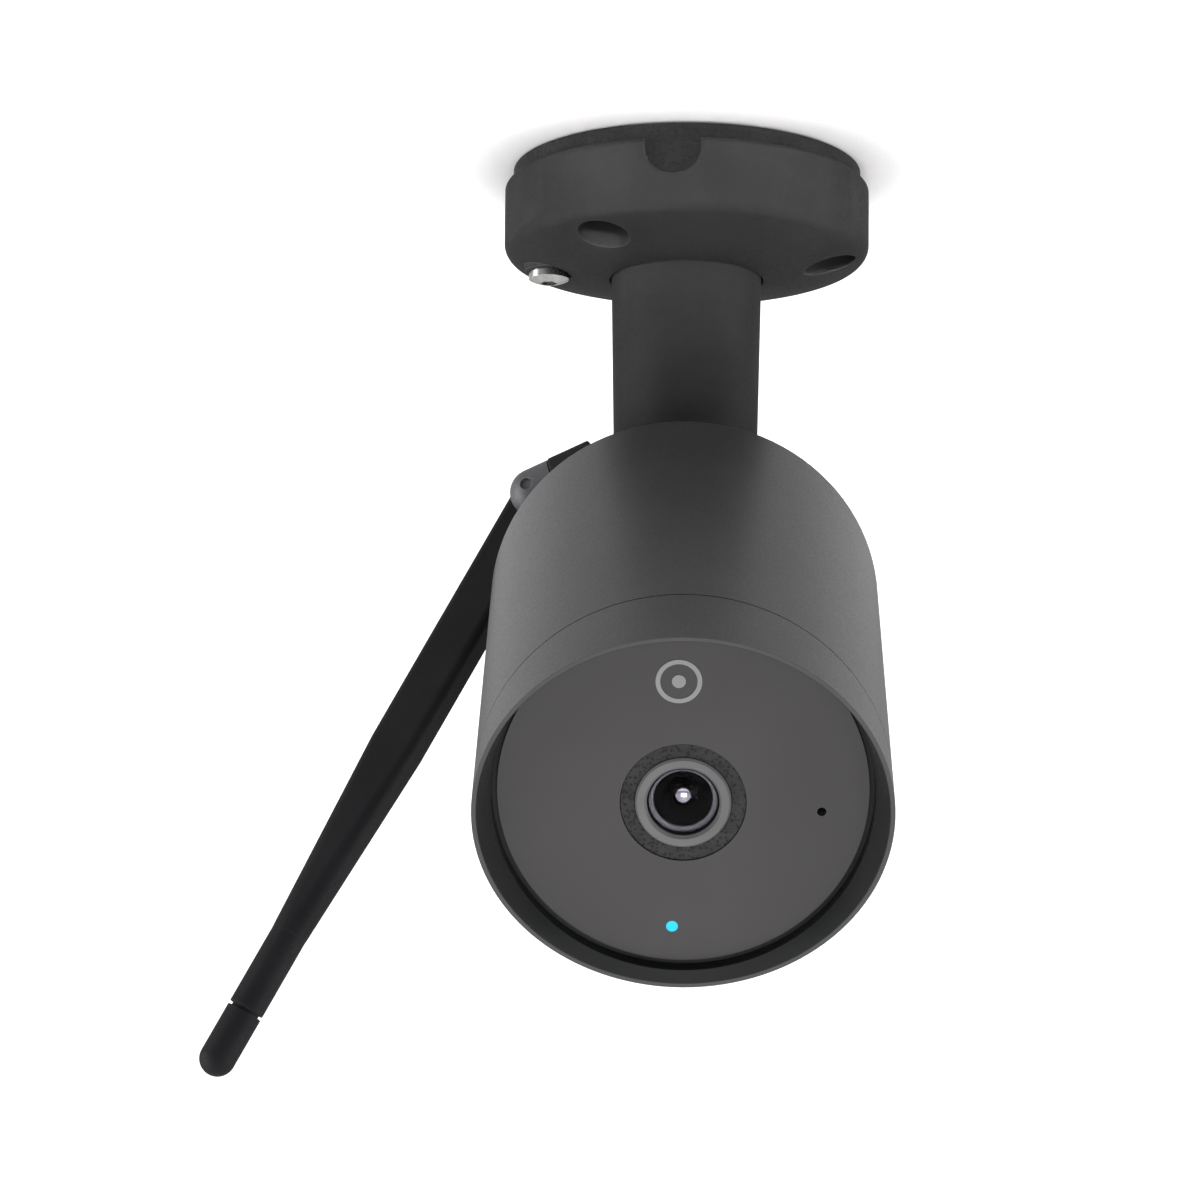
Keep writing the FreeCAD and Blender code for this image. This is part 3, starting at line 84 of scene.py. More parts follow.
def body_extent(node):
    """Lowest and highest corner of a CAD node along the camera body's own axes."""
    turned = BODY_FRAME.inverted()
    spots = [turned @ vertex.co for vertex in frame["nodes"][node].data.vertices]
    low = Vector([min(spot[i] for spot in spots) for i in range(3)])
    high = Vector([max(spot[i] for spot in spots) for i in range(3)])
    return low, high


# ---------------------------------------------------------------- materials


def surface(name, colour, tint, roughness, grain_mm, relief_mm, edge_mm=0.35, patch_mm=16.0,
            roughness_spread=0.06, wear=None, wear_amount=0.6, **fixed):
    """A finish with drifting colour, a grain with relief, uneven gloss and worn edges.

    colour and tint are the two ends of the drift. grain_mm is the size of the grain and relief_mm
    its height. edge_mm is the rounding that the light catches on an edge.
    """
    material = bpy.data.materials.new(name)
    material.use_nodes = True
    tree = material.node_tree
    shader = tree.nodes["Principled BSDF"]
    spot = add_node(tree, "ShaderNodeTexCoord").outputs["Object"]
    patches = add_node(tree, "ShaderNodeTexNoise", {
        "Vector": spot, "Scale": 1 / (patch_mm * MM), "Detail": 3.0, "Roughness": 0.55})
    grain = add_node(tree, "ShaderNodeTexNoise", {
        "Vector": spot, "Scale": 1 / (grain_mm * MM), "Detail": 2.0, "Roughness": 0.6})
    drift = add_node(tree, "ShaderNodeMapRange", {
        "Value": patches.outputs["Fac"], "From Min": 0.35, "From Max": 0.65})
    tone = add_node(tree, "ShaderNodeMix", {
        "Factor": drift.outputs["Result"]}, data_type="RGBA")
    colour_a, colour_b = colour_inputs(tone)
    colour_a.default_value = hex_colour(colour)
    colour_b.default_value = hex_colour(tint)
    painted = colour_output(tone)
    if edge_mm:
        rounded = add_node(tree, "ShaderNodeBevel", {"Radius": edge_mm * MM}, samples=4)
    else:
        rounded = add_node(tree, "ShaderNodeNewGeometry")
    if wear:
        facing = add_node(tree, "ShaderNodeNewGeometry").outputs["Normal"]
        across = add_node(tree, "ShaderNodeVectorMath", {0: facing, 1: rounded.outputs["Normal"]},
                          operation="DOT_PRODUCT")
        rub = add_node(tree, "ShaderNodeMapRange", {
            "Value": across.outputs["Value"], "From Min": 0.995, "From Max": 0.86,
            "To Max": wear_amount})
        broken = add_node(tree, "ShaderNodeMath", {0: rub.outputs["Result"],
                                                   1: patches.outputs["Fac"]},
                          operation="MULTIPLY")
        worn = add_node(tree, "ShaderNodeMix", {"Factor": broken.outputs["Value"]},
                        data_type="RGBA")
        worn_a, worn_b = colour_inputs(worn)
        tree.links.new(painted, worn_a)
        worn_b.default_value = hex_colour(wear)
        painted = colour_output(worn)
    tree.links.new(painted, shader.inputs["Base Color"])
    gloss = add_node(tree, "ShaderNodeMapRange", {
        "Value": grain.outputs["Fac"], "From Min": 0.3, "From Max": 0.7,
        "To Min": roughness - roughness_spread, "To Max": roughness + roughness_spread})
    tree.links.new(gloss.outputs["Result"], shader.inputs["Roughness"])
    relief = add_node(tree, "ShaderNodeBump", {
        "Height": grain.outputs["Fac"], "Distance": relief_mm * MM, "Strength": 1.0,
        "Normal": rounded.outputs["Normal"]})
    tree.links.new(relief.outputs["Normal"], shader.inputs["Normal"])
    for socket, value in fixed.items():
        shader.inputs[socket.replace("_", " ")].default_value = value
    return material


def colour_inputs(mix):
    """The two colour inputs of a Mix node."""
    return [socket for socket in mix.inputs if socket.type == "RGBA"]


def colour_output(mix):
    """The colour output of a Mix node."""
    return next(socket for socket in mix.outputs if socket.type == "RGBA")


# real foam cells are about 0.3 mm, drawn coarser so that they show
FOAM_CELL = 0.7 * MM
FOAM_CELL_DEPTH = 0.12 * MM


def foam(name, colour, tint, pore_shade_colour):
    """Open-cell polyurethane foam: dull, full of small round pores whose bottoms are darkened with
    painted shade.
    """
    material = surface(name, colour, tint, 0.95, 0.9, 0.10, edge_mm=0.2, patch_mm=5.0)
    tree = material.node_tree
    shader = tree.nodes["Principled BSDF"]
    spot = add_node(tree, "ShaderNodeTexCoord").outputs["Object"]
    cells = add_node(tree, "ShaderNodeTexVoronoi", {"Vector": spot, "Scale": 1 / FOAM_CELL})
    pits = add_node(tree, "ShaderNodeMapRange", {
        "Value": cells.outputs["Distance"], "From Min": 0.1, "From Max": 0.55})
    old = shader.inputs["Base Color"].links[0].from_socket
    # painted shade: the pore colour darkens the middle of each cell, where shade falls inside a
    # pore
    dark = add_node(tree, "ShaderNodeMix", {"Factor": pits.outputs["Result"]}, data_type="RGBA")
    dark_a, dark_b = colour_inputs(dark)
    dark_a.default_value = hex_colour(pore_shade_colour)
    tree.links.new(old, dark_b)
    tree.links.new(colour_output(dark), shader.inputs["Base Color"])
    skin = shader.inputs["Normal"].links[0].from_socket
    pitted = add_node(tree, "ShaderNodeBump", {
        "Height": pits.outputs["Result"], "Distance": FOAM_CELL_DEPTH, "Normal": skin})
    tree.links.new(pitted.outputs["Normal"], shader.inputs["Normal"])
    return material


# copper runs on the boards
RUN_LENGTH = 6 * MM
RUN_SPACING = 1.1 * MM
RUN_WIDTH = 0.12 * MM


def circuit_board(name, mask, trace):
    """Fibreglass board under solder mask: fine parallel copper runs show through the lacquer."""
    material = surface(name, mask, mask, 0.35, 0.5, 0.01, edge_mm=0.1)
    tree = material.node_tree
    shader = tree.nodes["Principled BSDF"]
    spot = add_node(tree, "ShaderNodeTexCoord").outputs["Object"]
    runs = add_node(tree, "ShaderNodeTexBrick", {
        "Vector": spot, "Scale": 1.0, "Brick Width": RUN_LENGTH, "Row Height": RUN_SPACING,
        "Mortar Size": RUN_WIDTH, "Color1": hex_colour(mask), "Color2": hex_colour(mask),
        "Mortar": hex_colour(trace)})
    tree.links.new(runs.outputs["Color"], shader.inputs["Base Color"])
    return material


# width of the hood's front rim that keeps the outside paint
HOOD_LIP = 0.8 * MM


def hood_paint_and_shade(name, outside):
    """The casing's satin paint, with a dull black inside that keeps stray light off the window;
    this near-black is partly that finish and partly painted shade inside the hood.
    """
    material = outside.copy()
    material.name = name
    tree = material.node_tree
    shader = tree.nodes["Principled BSDF"]
    spot = add_node(tree, "ShaderNodeTexCoord").outputs["Object"]
    from_axis = add_node(tree, "ShaderNodeVectorMath", {0: spot, 1: TILT_AXIS},
                         operation="SUBTRACT").outputs["Vector"]
    along = add_node(tree, "ShaderNodeVectorMath", {0: from_axis, 1: BODY_OUT},
                     operation="PROJECT").outputs["Vector"]
    across = add_node(tree, "ShaderNodeVectorMath", {0: from_axis, 1: along},
                      operation="DISTANCE").outputs["Value"]
    _, high = body_extent("hood_ring")
    inside = add_node(tree, "ShaderNodeMath", {0: across, 1: high.x - HOOD_LIP},
                      operation="LESS_THAN")
    painted = shader.inputs["Base Color"].links[0].from_socket
    choice = add_node(tree, "ShaderNodeMix", {"Factor": inside.outputs["Value"]}, data_type="RGBA")
    choice_a, choice_b = colour_inputs(choice)
    tree.links.new(painted, choice_a)
    # near-black inside the hood: partly its black inner finish, partly painted shade in the hood's
    # hollow
    choice_b.default_value = hex_colour("0E0F10")
    tree.links.new(colour_output(choice), shader.inputs["Base Color"])
    return material


def smoked_window(name):
    """Smoked acrylic, semi-gloss on the outside with a hard coat; it looks dark grey."""
    return surface(name, "302E2F", "343233", 0.34, 5.0, 0.02, edge_mm=0.0, patch_mm=40.0,
                   roughness_spread=0.03, Coat_Weight=0.2, Coat_Roughness=0.15)


def coated_glass(name, tint):
    """Optical glass with an anti-reflection coating, which throws back less than bare glass."""
    return surface(name, tint, tint, 0.03, 2.0, 0.0004, edge_mm=0.05, roughness_spread=0.01,
                   Transmission_Weight=1.0, IOR=1.08, Specular_IOR_Level=0.15)


def lit_indicator(name):
    """A lit light guide: clear acrylic glowing cyan."""
    material = surface(name, "19A9E6", "0F93D2", 0.35, 0.6, 0.005, edge_mm=0.1)
    shader = material.node_tree.nodes["Principled BSDF"]
    shader.inputs["Emission Color"].default_value = hex_colour("12A8EC")
    shader.inputs["Emission Strength"].default_value = 0.6
    return material


def make_materials():
    """One material for each of the record's slots, each named for the real thing."""
    return {
        # powder coat on a zinc casting: matte black, orange-peel skin, thin rub on the edges
        "dark_paint": surface("black_powder_coat", "1C1C1C", "222222", 0.70, 0.75, 0.032,
                              edge_mm=0.6, wear="6A6A6C", wear_amount=0.5,
                              Specular_IOR_Level=0.12),
        # satin soft-touch paint over aluminium: even charcoal, broad soft reflections
        "satin_casing": surface("satin_charcoal_paint", "303032", "343436", 0.40, 0.5, 0.004,
                                edge_mm=0.2, wear="5A5A5C", wear_amount=0.2,
                                Coat_Weight=0.12, Coat_Roughness=0.35),
        "foam": foam("grey_open_cell_foam", "2B2B2C", "343435", "1A1A1B"),
        # moulded EPDM rubber: dull, slightly dusty
        "black_rubber": surface("black_epdm_rubber", "1C1C1D", "262627", 0.75, 0.5, 0.015),
        # turned nylon: off-white, waxy
        "nylon": surface("natural_nylon", "DAD6CB", "E4E0D6", 0.45, 0.6, 0.006,
                         Subsurface_Weight=0.1),
        # zinc-plated pressed steel: spangled grey
        "zinc": surface("zinc_plated_steel", "A9ADB1", "8F9397", 0.34, 0.8, 0.006,
                        Metallic=1.0, patch_mm=3.0),
        # bright nickel-plated screw steel with fine turning marks
        "steel": surface("nickel_plated_steel", "C6C6C4", "A8A8A6", 0.24, 0.3, 0.004,
                         Metallic=1.0, patch_mm=2.5, wear="E8E8E6", edge_mm=0.15),
        # glass-filled ABS: black with a fine spark-eroded grain
        "black_plastic": surface("black_abs", "1E1E20", "252527", 0.55, 0.4, 0.01),
        "dark_window": smoked_window("smoked_acrylic"),
        # pad-printed light grey ink
        "grey_print": surface("grey_pad_print", "868687", "7C7C7D", 0.55, 0.3, 0.004,
                              edge_mm=0.05),
        "board_black": circuit_board("black_circuit_board", "131416", "24272B"),
        "board_green": circuit_board("green_circuit_board", "0F4A2A", "2E7A4C"),
        # clear epoxy lamp lens, bluish
        "lamp_lens": surface("clear_epoxy", "8D93A0", "7D8492", 0.12, 1.0, 0.002,
                             Coat_Weight=0.6),
        "cyan_light": lit_indicator("lit_cyan_acrylic"),
        # cover glass on a silicon sensor
        "sensor_glass": surface("sensor_cover_glass", "1B2430", "2A2340", 0.08, 1.5, 0.001,
                                Coat_Weight=1.0),
        # black anodised aluminium, turned: satin with fine lathe rings
        "lens_metal": surface("black_anodised_aluminium", "545455", "5E5E5F", 0.46, 0.35, 0.004,
                              edge_mm=0.15, wear="808082", wear_amount=0.5),
        "lens_glass": coated_glass("coated_optical_glass", "ECEAF2"),
        # mill-finish aluminium sheet with rolling streaks
        "aluminium_sheet": surface("mill_finish_aluminium", "B9BBBD", "A6A8AA", 0.38, 0.5, 0.004,
                                   Metallic=1.0),
        # machined brass
        "brass": surface("machined_brass", "C9A44E", "B48E3C", 0.28, 0.4, 0.004, Metallic=1.0),
        # moulded grey silicone key
        "grey_button": surface("grey_silicone", "77787A", "6C6D6F", 0.6, 0.5, 0.006),
        # moulded acetal, lighter grey than the paddle
        "antenna_base": surface("grey_acetal", "47474A", "4E4E51", 0.50, 0.5, 0.012,
                                edge_mm=0.3, wear="86868A", wear_amount=0.5),
        # spark-eroded TPU skin: matte black with a fine even texture
        "antenna_skin": surface("black_tpu", "111113", "161618", 0.62, 0.55, 0.018,
                                edge_mm=0.4, wear="4E4E50", wear_amount=0.5,
                                Specular_IOR_Level=0.14),
    }


def inner_lens_glass(name):
    """The small rear element: a silver glint in the middle and a magenta coating at its edge."""
    material = surface(name, "C9C9CE", "BDBDC4", 0.12, 1.0, 0.0, edge_mm=0.0,
                       roughness_spread=0.02, Metallic=1.0)
    tree = material.node_tree
    shader = tree.nodes["Principled BSDF"]
    slope = add_node(tree, "ShaderNodeLayerWeight", {"Blend": 0.35}).outputs["Facing"]
    glint = shader.inputs["Base Color"].links[0].from_socket
    coating = add_node(tree, "ShaderNodeMix", {"Factor": slope}, data_type="RGBA")
    coating_a, coating_b = colour_inputs(coating)
    tree.links.new(glint, coating_a)
    coating_b.default_value = hex_colour("8A1240")
    tree.links.new(colour_output(coating), shader.inputs["Base Color"])
    return material


MATERIALS = make_materials()
GASKET_FOAM = foam("black_gasket_foam", "101010", "171717", "070707")
HOOD_PAINT_AND_SHADE = hood_paint_and_shade("hood_satin_and_shaded_black", MATERIALS["satin_casing"])
# dull black flock inside the lens
LIGHT_TRAP = surface("black_flocking", "060606", "080808", 0.9, 0.5, 0.01, edge_mm=0.05,
                     Specular_IOR_Level=0.2)
INNER_GLASS = inner_lens_glass("magenta_coated_glass")
SLOT_OF_NODE = {part["node"]: part["material_slot"] for part in frame["record"]["subparts"]}

for node_name, node_object in frame["nodes"].items():
    finish = MATERIALS[SLOT_OF_NODE[node_name]]
    if not node_object.material_slots:
        node_object.data.materials.append(finish)
    for material_slot in node_object.material_slots:
        material_slot.material = finish
for node_name, finish in (("hood_ring", HOOD_PAINT_AND_SHADE), ("ceiling_gasket", GASKET_FOAM),
                          ("notch_plug", GASKET_FOAM)):
    for material_slot in frame["nodes"][node_name].material_slots:
        material_slot.material = finish


# ---------------------------------------------------------------- pieces made here


def finished_piece(name, mesh, body, slot, finish=None):
    """Puts a mesh into the scene as a piece on a CAD body, with the finish of a slot."""
    piece = bpy.data.objects.new(name, mesh)
    bpy.context.scene.collection.objects.link(piece)
    mesh.materials.clear()
    mesh.materials.append(finish or MATERIALS[slot])
    for polygon in mesh.polygons:
        polygon.use_smooth = True
    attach(piece, body)
    return piece


def turned_mesh(name, outline, steps, centre, lift=None):
    """A closed ring or dome turned about the body's own axis at centre, placed in the scene.

    outline holds (radius, height) points; lift(angle, index) may raise a point.
    """
    shape = bmesh.new()
    rows = []
    for step in range(steps):
        angle = 2 * math.pi * step / steps
        row = []
        for index, (radius, height) in enumerate(outline):
            raised = height + (lift(angle, index) if lift else 0.0)
            local = Vector((centre[0] + radius * math.cos(angle),
                            centre[1] + radius * math.sin(angle), raised))
            row.append(shape.verts.new(BODY_FRAME @ local))
        rows.append(row)
    count = len(outline)
    for step in range(steps):
        here, there = rows[step], rows[(step + 1) % steps]
        for index in range(count):
            after = (index + 1) % count
            shape.faces.new((here[index], there[index], there[after], here[after]))
    bmesh.ops.remove_doubles(shape, verts=shape.verts, dist=1e-7)
    bmesh.ops.recalc_face_normals(shape, faces=shape.faces)
    mesh = bpy.data.meshes.new(name)
    shape.to_mesh(mesh)
    shape.free()
    return mesh


SHIELD_GAP = 0.1 * MM  # round the lens barrel
SHIELD_PORE = 0.10 * MM
SHIELD_RINGS = 18
SHIELD_STEPS = 288
SHIELD_SEED = 11


def make_foam_ring():
    """The soft light shield round the lens: a torn-looking ring of foam with real pores."""
    low, high = body_extent("lens_foam_ring")
    barrel_low, barrel_high = body_extent("lens_barrel")
    outer = (high.x - low.x) / 2
    inner = (barrel_high.x - barrel_low.x) / 2 + SHIELD_GAP
    chance = random.Random(SHIELD_SEED)
    pits = [[chance.random() * SHIELD_PORE for _ in range(SHIELD_RINGS)]
            for _ in range(SHIELD_STEPS)]
    top = high.z - SHIELD_PORE
    outline = [(inner, low.z)]
    for index in range(SHIELD_RINGS):
        share = index / (SHIELD_RINGS - 1)
        outline.append((inner + (outer - inner) * share, top))
    outline.append((outer, low.z))

    def lift(angle, index):
        if index in (0, len(outline) - 1):
            return 0.0
        step = round(angle / (2 * math.pi) * SHIELD_STEPS) % SHIELD_STEPS
        return pits[step][index - 1]

    mesh = turned_mesh("lens_light_shield", outline, SHIELD_STEPS, (low + high) / 2, lift)
    piece = finished_piece("lens_light_shield", mesh, "camera", "foam")
    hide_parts("lens_foam_ring")


def dome_outline(top, radius, rim, thickness, points=14):
    """Outline of a lens: a dome from the axis to its rim, and a flat or hollow back."""
    front = []
    for index in range(points + 1):
        share = index / points
        front.append((radius * math.sin(share * math.pi / 2),
                      rim + (top - rim) * math.cos(share * math.pi / 2)))
    back = [(max(spot - thickness, 0.0), height - thickness) for spot, height in reversed(front)]
    return front + back


LENS_DOME = 2.1 * MM  # height of the front glass
LENS_GLASS_THICKNESS = 0.8 * MM
LENS_EDGE = 0.35 * MM  # blacked edge round the front glass
EDGE_GAP = 0.02 * MM
EDGE_RISE = 0.5 * MM
TRAP_STEPS = 6
TRAP_DEPTH = 6.0 * MM
TRAP_INSET = 1.25 * MM  # trap inside the front glass
TRAP_LIP = 0.15 * MM
TRAP_THROAT = 2.6 * MM
SEAT_GAP = 0.05 * MM
INNER_RADIUS = 2.2 * MM
INNER_TOP = 0.4 * MM  # below the seat
INNER_RIM = 2.2 * MM  # below the seat
INNER_THICKNESS = 0.5 * MM
LENS_SEGMENTS = 96
INNER_SEGMENTS = 48


def make_lens():
    """Front glass, a stepped black light trap behind it, and the small glinting rear element."""
    low, high = body_extent("lens_front_element")
    centre = (low + high) / 2
    radius = (high.x - low.x) / 2
    rim = high.z - LENS_DOME
    clear = radius - LENS_EDGE
    dome = dome_outline(high.z, clear, rim, LENS_GLASS_THICKNESS)
    glass = turned_mesh("lens_front_glass", dome, LENS_SEGMENTS, centre)
    piece = finished_piece("lens_front_glass", glass, "camera", "lens_glass")
    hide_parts("lens_front_element")
    # its collar blacks the edge of the glass
    outside, inside = radius - EDGE_GAP, clear + EDGE_GAP
    foot, brow = low.z + EDGE_GAP, rim + EDGE_RISE
    collar = [(outside, foot), (outside, brow), (inside, brow), (inside, foot)]
    edge_black = turned_mesh("lens_edge_blacking", collar, LENS_SEGMENTS, centre)
    finished_piece("lens_edge_blacking", edge_black, "camera", "black_plastic", LIGHT_TRAP)
    # the light trap's steps, from the seat of the front glass down to the rear element
    outer = radius - TRAP_INSET
    seat = low.z - SEAT_GAP
    mouth = outer - TRAP_LIP
    wall = [(outer, seat - TRAP_DEPTH), (outer, seat)]
    for index in range(TRAP_STEPS):
        ledge = mouth + (TRAP_THROAT - mouth) * index / (TRAP_STEPS - 1)
        wall.append((ledge, seat - TRAP_DEPTH * index / TRAP_STEPS))
        wall.append((ledge, seat - TRAP_DEPTH * (index + 1) / TRAP_STEPS))
    trap = turned_mesh("lens_light_trap", wall, LENS_SEGMENTS, centre)
    finished_piece("lens_light_trap", trap, "camera", "black_plastic", LIGHT_TRAP)
    button = dome_outline(seat - INNER_TOP, INNER_RADIUS, seat - INNER_RIM, INNER_THICKNESS)
    bead = turned_mesh("lens_inner_element", button, INNER_SEGMENTS, centre)
    finished_piece("lens_inner_element", bead, "camera", "lens_glass", INNER_GLASS)


def ring_of_domes(name, count, ring_radius, dome_radius, dome_height, turn, material):
    """Rounded studs set evenly round a circle about Z, made by Geometry Nodes.

    Returns a plain mesh; count, sizes and the starting angle are the tree's named inputs.
    """
    tree = bpy.data.node_groups.new(name, "GeometryNodeTree")
    wanted = (("Count", "NodeSocketInt", count), ("Ring radius", "NodeSocketFloat", ring_radius),
              ("Dome radius", "NodeSocketFloat", dome_radius),
              ("Dome height", "NodeSocketFloat", dome_height), ("Turn", "NodeSocketFloat", turn))
    sockets = {label: tree.interface.new_socket(label, in_out="INPUT", socket_type=kind)
               for label, kind, _ in wanted}
    tree.interface.new_socket("Geometry", in_out="OUTPUT", socket_type="NodeSocketGeometry")
    given = add_node(tree, "NodeGroupInput").outputs
    circle = add_node(tree, "GeometryNodeMeshCircle", {
        "Vertices": given["Count"], "Radius": given["Ring radius"]}).outputs["Mesh"]
    ball = add_node(tree, "GeometryNodeMeshUVSphere", {
        "Segments": 24, "Rings": 14, "Radius": given["Dome radius"]}).outputs["Mesh"]
    share = add_node(tree, "ShaderNodeMath", {0: given["Dome height"], 1: given["Dome radius"]},
                     operation="DIVIDE").outputs["Value"]
    squat = add_node(tree, "ShaderNodeCombineXYZ", {"X": 1.0, "Y": 1.0, "Z": share})
    stud = add_node(tree, "GeometryNodeTransform", {
        "Geometry": ball, "Scale": squat.outputs["Vector"]})
    spread = add_node(tree, "GeometryNodeInstanceOnPoints", {
        "Points": circle, "Instance": stud.outputs["Geometry"]}).outputs["Instances"]
    angle = add_node(tree, "ShaderNodeCombineXYZ", {"Z": given["Turn"]}).outputs["Vector"]
    turned = add_node(tree, "GeometryNodeTransform", {"Geometry": spread, "Rotation": angle})
    real = add_node(tree, "GeometryNodeRealizeInstances", {"Geometry": turned.outputs["Geometry"]})
    painted = add_node(tree, "GeometryNodeSetMaterial", {
        "Geometry": real.outputs["Geometry"], "Material": material})
    add_node(tree, "NodeGroupOutput", {"Geometry": painted.outputs["Geometry"]})
    holder = bpy.data.objects.new(name + "_maker", bpy.data.meshes.new(name + "_start"))
    bpy.context.scene.collection.objects.link(holder)
    modifier = holder.modifiers.new(name, "NODES")
    modifier.node_group = tree
    for label, _, value in wanted:
        modifier[sockets[label].identifier] = value
    seen = holder.evaluated_get(bpy.context.evaluated_depsgraph_get())
    mesh = bpy.data.meshes.new_from_object(seen)
    mesh.name = name
    holder.modifiers.remove(modifier)
    bpy.data.objects.remove(holder)
    return mesh


STUD_COUNT = 20
STUD_RADIUS = 0.55 * MM
STUD_HEIGHT = 0.9 * MM
STUD_SINK = 0.1 * MM  # into the collar
STUD_RISE = 3.0 * MM  # above the gland's lowest point


def make_gland_grip():
    """Rounded grip studs round the collar of the cable gland at the back."""
    low, high = body_extent("cable_gland")
    centre = (low + high) / 2
    collar = (high.x - low.x) / 2
    mesh = ring_of_domes("gland_grip_studs", STUD_COUNT, collar - STUD_SINK, STUD_RADIUS,
                         STUD_HEIGHT, 0.0, MATERIALS["black_rubber"])
    mesh.transform(BODY_FRAME @ Matrix.Translation((centre.x, centre.y, low.z + STUD_RISE)))
    finished_piece("gland_grip_studs", mesh, "camera", "black_rubber")


make_foam_ring()
make_lens()
make_gland_grip()


# ---------------------------------------------------------------- studio

# the soft shade painted on the ceiling round the base, as distances from the pan axis
PAINTED_SHADE_START = 30 * MM
PAINTED_SHADE_END = 62 * MM


def paper(name, colour, glow):
    """Matte white paper, lit through by glow, with a painted shade in the middle where the glow
    drops to a tenth. From its back, it isn't there.
    """
    material = surface(name, colour, colour, 0.9, 6.0, 0.05, roughness_spread=0.03)
    tree = material.node_tree
    shader = tree.nodes["Principled BSDF"]
    shader.inputs["Emission Color"].default_value = hex_colour("FFFFFF")
    spot = add_node(tree, "ShaderNodeTexCoord").outputs["Object"]
    level = add_node(tree, "ShaderNodeVectorMath", {0: spot, 1: (1, 1, 0)}, operation="MULTIPLY")
    reach = add_node(tree, "ShaderNodeVectorMath", {0: level.outputs["Vector"]},
                     operation="LENGTH").outputs["Value"]
    # painted shade: the glow falls to a tenth towards the pan axis, standing in for the base's
    # shadow on the ceiling
    glow_with_painted_shade = add_node(tree, "ShaderNodeMapRange", {
        "Value": reach, "From Min": PAINTED_SHADE_START, "From Max": PAINTED_SHADE_END, "To Min": glow * 0.1,
        "To Max": glow}, interpolation_type="SMOOTHSTEP").outputs["Result"]
    tree.links.new(glow_with_painted_shade, shader.inputs["Emission Strength"])
    behind = add_node(tree, "ShaderNodeNewGeometry").outputs["Backfacing"]
    clear = add_node(tree, "ShaderNodeBsdfTransparent").outputs["BSDF"]
    choice = add_node(tree, "ShaderNodeMixShader", {"Fac": behind})
    tree.links.new(shader.outputs["BSDF"], choice.inputs[1])
    tree.links.new(clear, choice.inputs[2])
    tree.links.new(choice.outputs["Shader"], tree.nodes["Material Output"].inputs["Surface"])
    return material


def stage_sheet(name, size, height, facing, colour, glow):
    """A flat sheet of the studio, facing up or down."""
    half = size / 2
    corners = [(-half, -half), (half, -half), (half, half), (-half, half)]
    if facing < 0:
        corners.reverse()
    mesh = bpy.data.meshes.new(name)
    mesh.from_pydata([(x, y, height) for x, y in corners], [], [(0, 1, 2, 3)])
    mesh.materials.append(paper(name + "_paper", colour, glow))
    sheet = bpy.data.objects.new(name, mesh)
    bpy.context.scene.collection.objects.link(sheet)
    return sheet


def softbox(name, place, aim, width, height, power, mirrored=True, spread=180):
    """A soft studio lamp that points at a spot; a grid narrows it to a spread in degrees."""
    lamp = bpy.data.lights.new(name, "AREA")
    lamp.shape = "RECTANGLE"
    lamp.size = width
    lamp.size_y = height
    lamp.energy = power
    lamp.spread = math.radians(spread)
    holder = bpy.data.objects.new(name, lamp)
    holder.location = place
    holder.rotation_euler = (Vector(aim) - Vector(place)).to_track_quat("-Z", "Y").to_euler()
    holder.visible_camera = False
    holder.visible_glossy = mirrored
    bpy.context.scene.collection.objects.link(holder)


SHEET_SIZE = 6.0
CEILING_HEIGHT = 0.4 * MM
BACKING_SIZE = 0.14
BACKING_HEIGHT = 0.8 * MM
FLOOR_HEIGHT = -1.2
WORLD_SEEN = 1.0
WORLD_LIGHT = 0.55


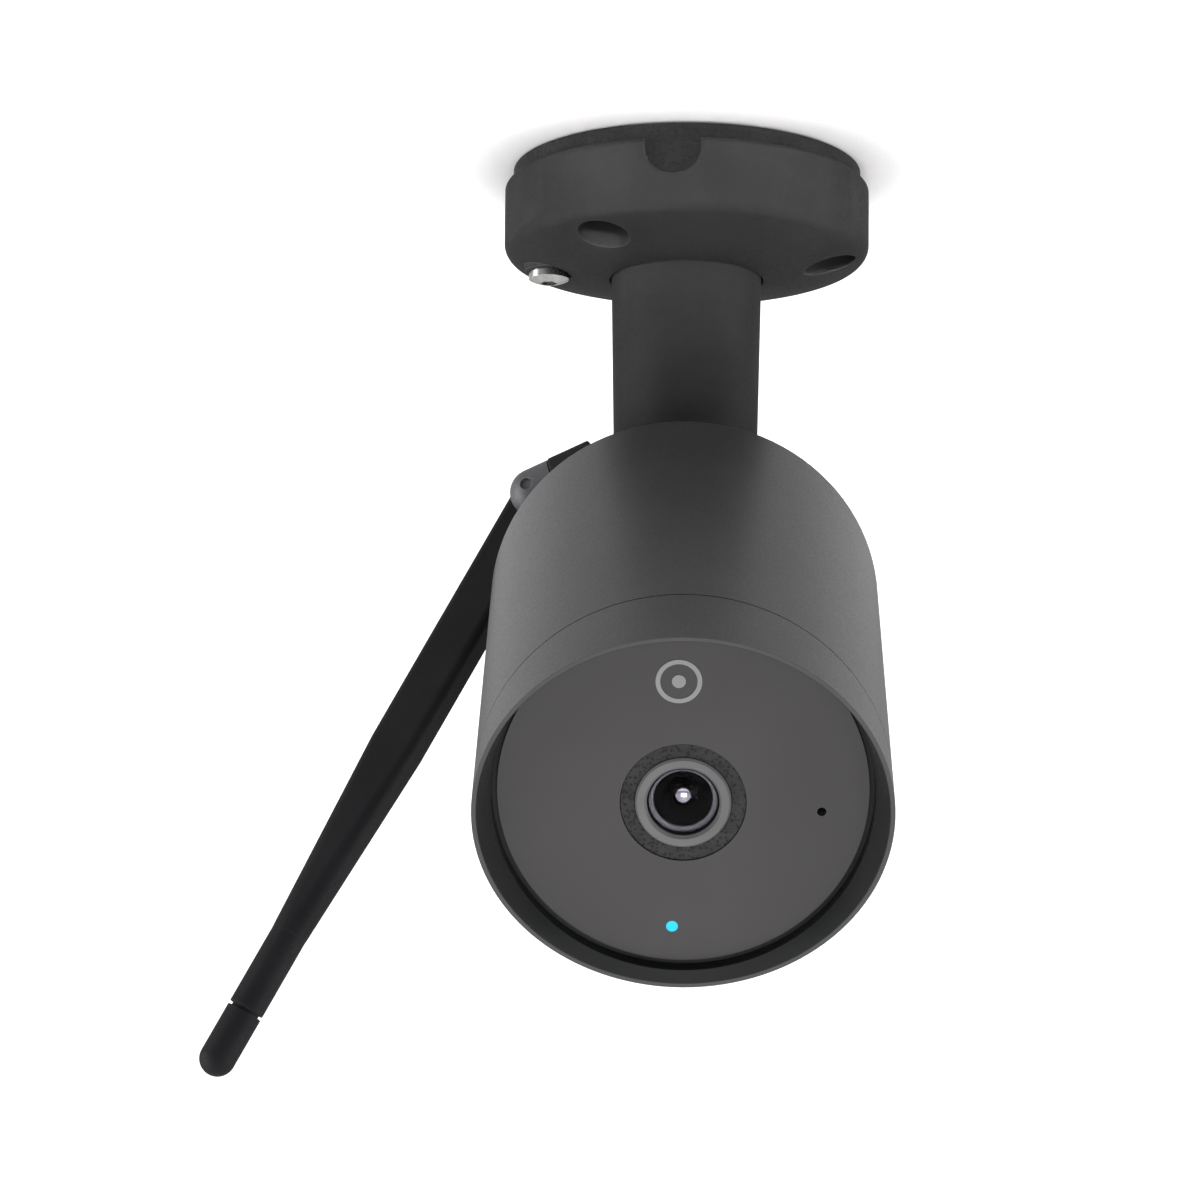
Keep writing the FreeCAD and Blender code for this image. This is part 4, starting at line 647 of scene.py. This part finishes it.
def make_studio():
    """White ceiling and floor, a softbox on each side, front lamps and a weak one behind."""
    ceiling = stage_sheet("ceiling", SHEET_SIZE, CEILING_HEIGHT, -1, "B4B4B4", 0.88)
    ceiling.visible_shadow = False
    ceiling.visible_diffuse = False
    ceiling.visible_glossy = False
    # keeps light from above out of the screw holes
    backing = stage_sheet("ceiling_backing", BACKING_SIZE, BACKING_HEIGHT, -1, "B4B4B4", 0.0)
    backing.visible_camera = False
    backing.visible_glossy = False
    stage_sheet("floor", SHEET_SIZE, FLOOR_HEIGHT, 1, "EDEDEC", 0.25)
    middle = (0, 0, -0.12)
    softbox("left_softbox", (-0.9, -0.1, -0.25), middle, 0.5, 1.0, 9.0)
    softbox("right_softbox", (0.9, -0.1, -0.25), middle, 0.5, 1.0, 6.6)
    softbox("front_softbox", (0.1, -1.0, -0.75), middle, 0.9, 0.6, 11.0, mirrored=False)
    softbox("base_softbox", (0.0, -1.1, -0.10), (0, 0, 0.005), 0.16, 0.03, 0.12, mirrored=False,
            spread=7)
    softbox("rim_softbox", (0.0, 0.8, 0.30), (0, 0.02, -0.09), 0.9, 0.3, 0.35)
    world = bpy.data.worlds.new("studio_air")
    world.use_nodes = True
    tree = world.node_tree
    tree.nodes.clear()
    seen = add_node(tree, "ShaderNodeBackground", {"Color": (1, 1, 1, 1), "Strength": WORLD_SEEN})
    lit = add_node(tree, "ShaderNodeBackground", {"Color": (1, 1, 1, 1), "Strength": WORLD_LIGHT})
    ray = add_node(tree, "ShaderNodeLightPath").outputs["Is Camera Ray"]
    choice = add_node(tree, "ShaderNodeMixShader", {"Fac": ray})
    tree.links.new(lit.outputs["Background"], choice.inputs[1])
    tree.links.new(seen.outputs["Background"], choice.inputs[2])
    out = add_node(tree, "ShaderNodeOutputWorld")
    tree.links.new(choice.outputs["Shader"], out.inputs["Surface"])
    bpy.context.scene.world = world
    bpy.context.scene.view_settings.view_transform = "Standard"


LENS_MM = 166.95
CAMERA_PLACE = (0.00001, -1.08412, -0.32456)
YAW, PITCH, ROLL = -0.89, 12.28, 0.54


def make_camera():
    """A long lens from in front and below, looking up a little."""
    yaw, pitch, roll = math.radians(YAW), math.radians(PITCH), math.radians(ROLL)
    ahead = Vector((math.sin(yaw) * math.cos(pitch), math.cos(yaw) * math.cos(pitch),
                    math.sin(pitch)))
    level = ahead.cross(Vector((0, 0, 1))).normalized()
    upright = level.cross(ahead)
    right = math.cos(roll) * level + math.sin(roll) * upright
    up = math.cos(roll) * upright - math.sin(roll) * level
    view = bpy.data.cameras.new("studio_camera")
    view.sensor_width = 36.0
    view.lens = LENS_MM
    view.clip_start = 0.05
    view.clip_end = 20.0
    holder = bpy.data.objects.new("studio_camera", view)
    holder.matrix_world = Matrix.Translation(CAMERA_PLACE) @ Matrix((
        (right.x, up.x, -ahead.x), (right.y, up.y, -ahead.y),
        (right.z, up.z, -ahead.z))).to_4x4()
    bpy.context.scene.collection.objects.link(holder)
    bpy.context.scene.camera = holder


make_studio()
make_camera()
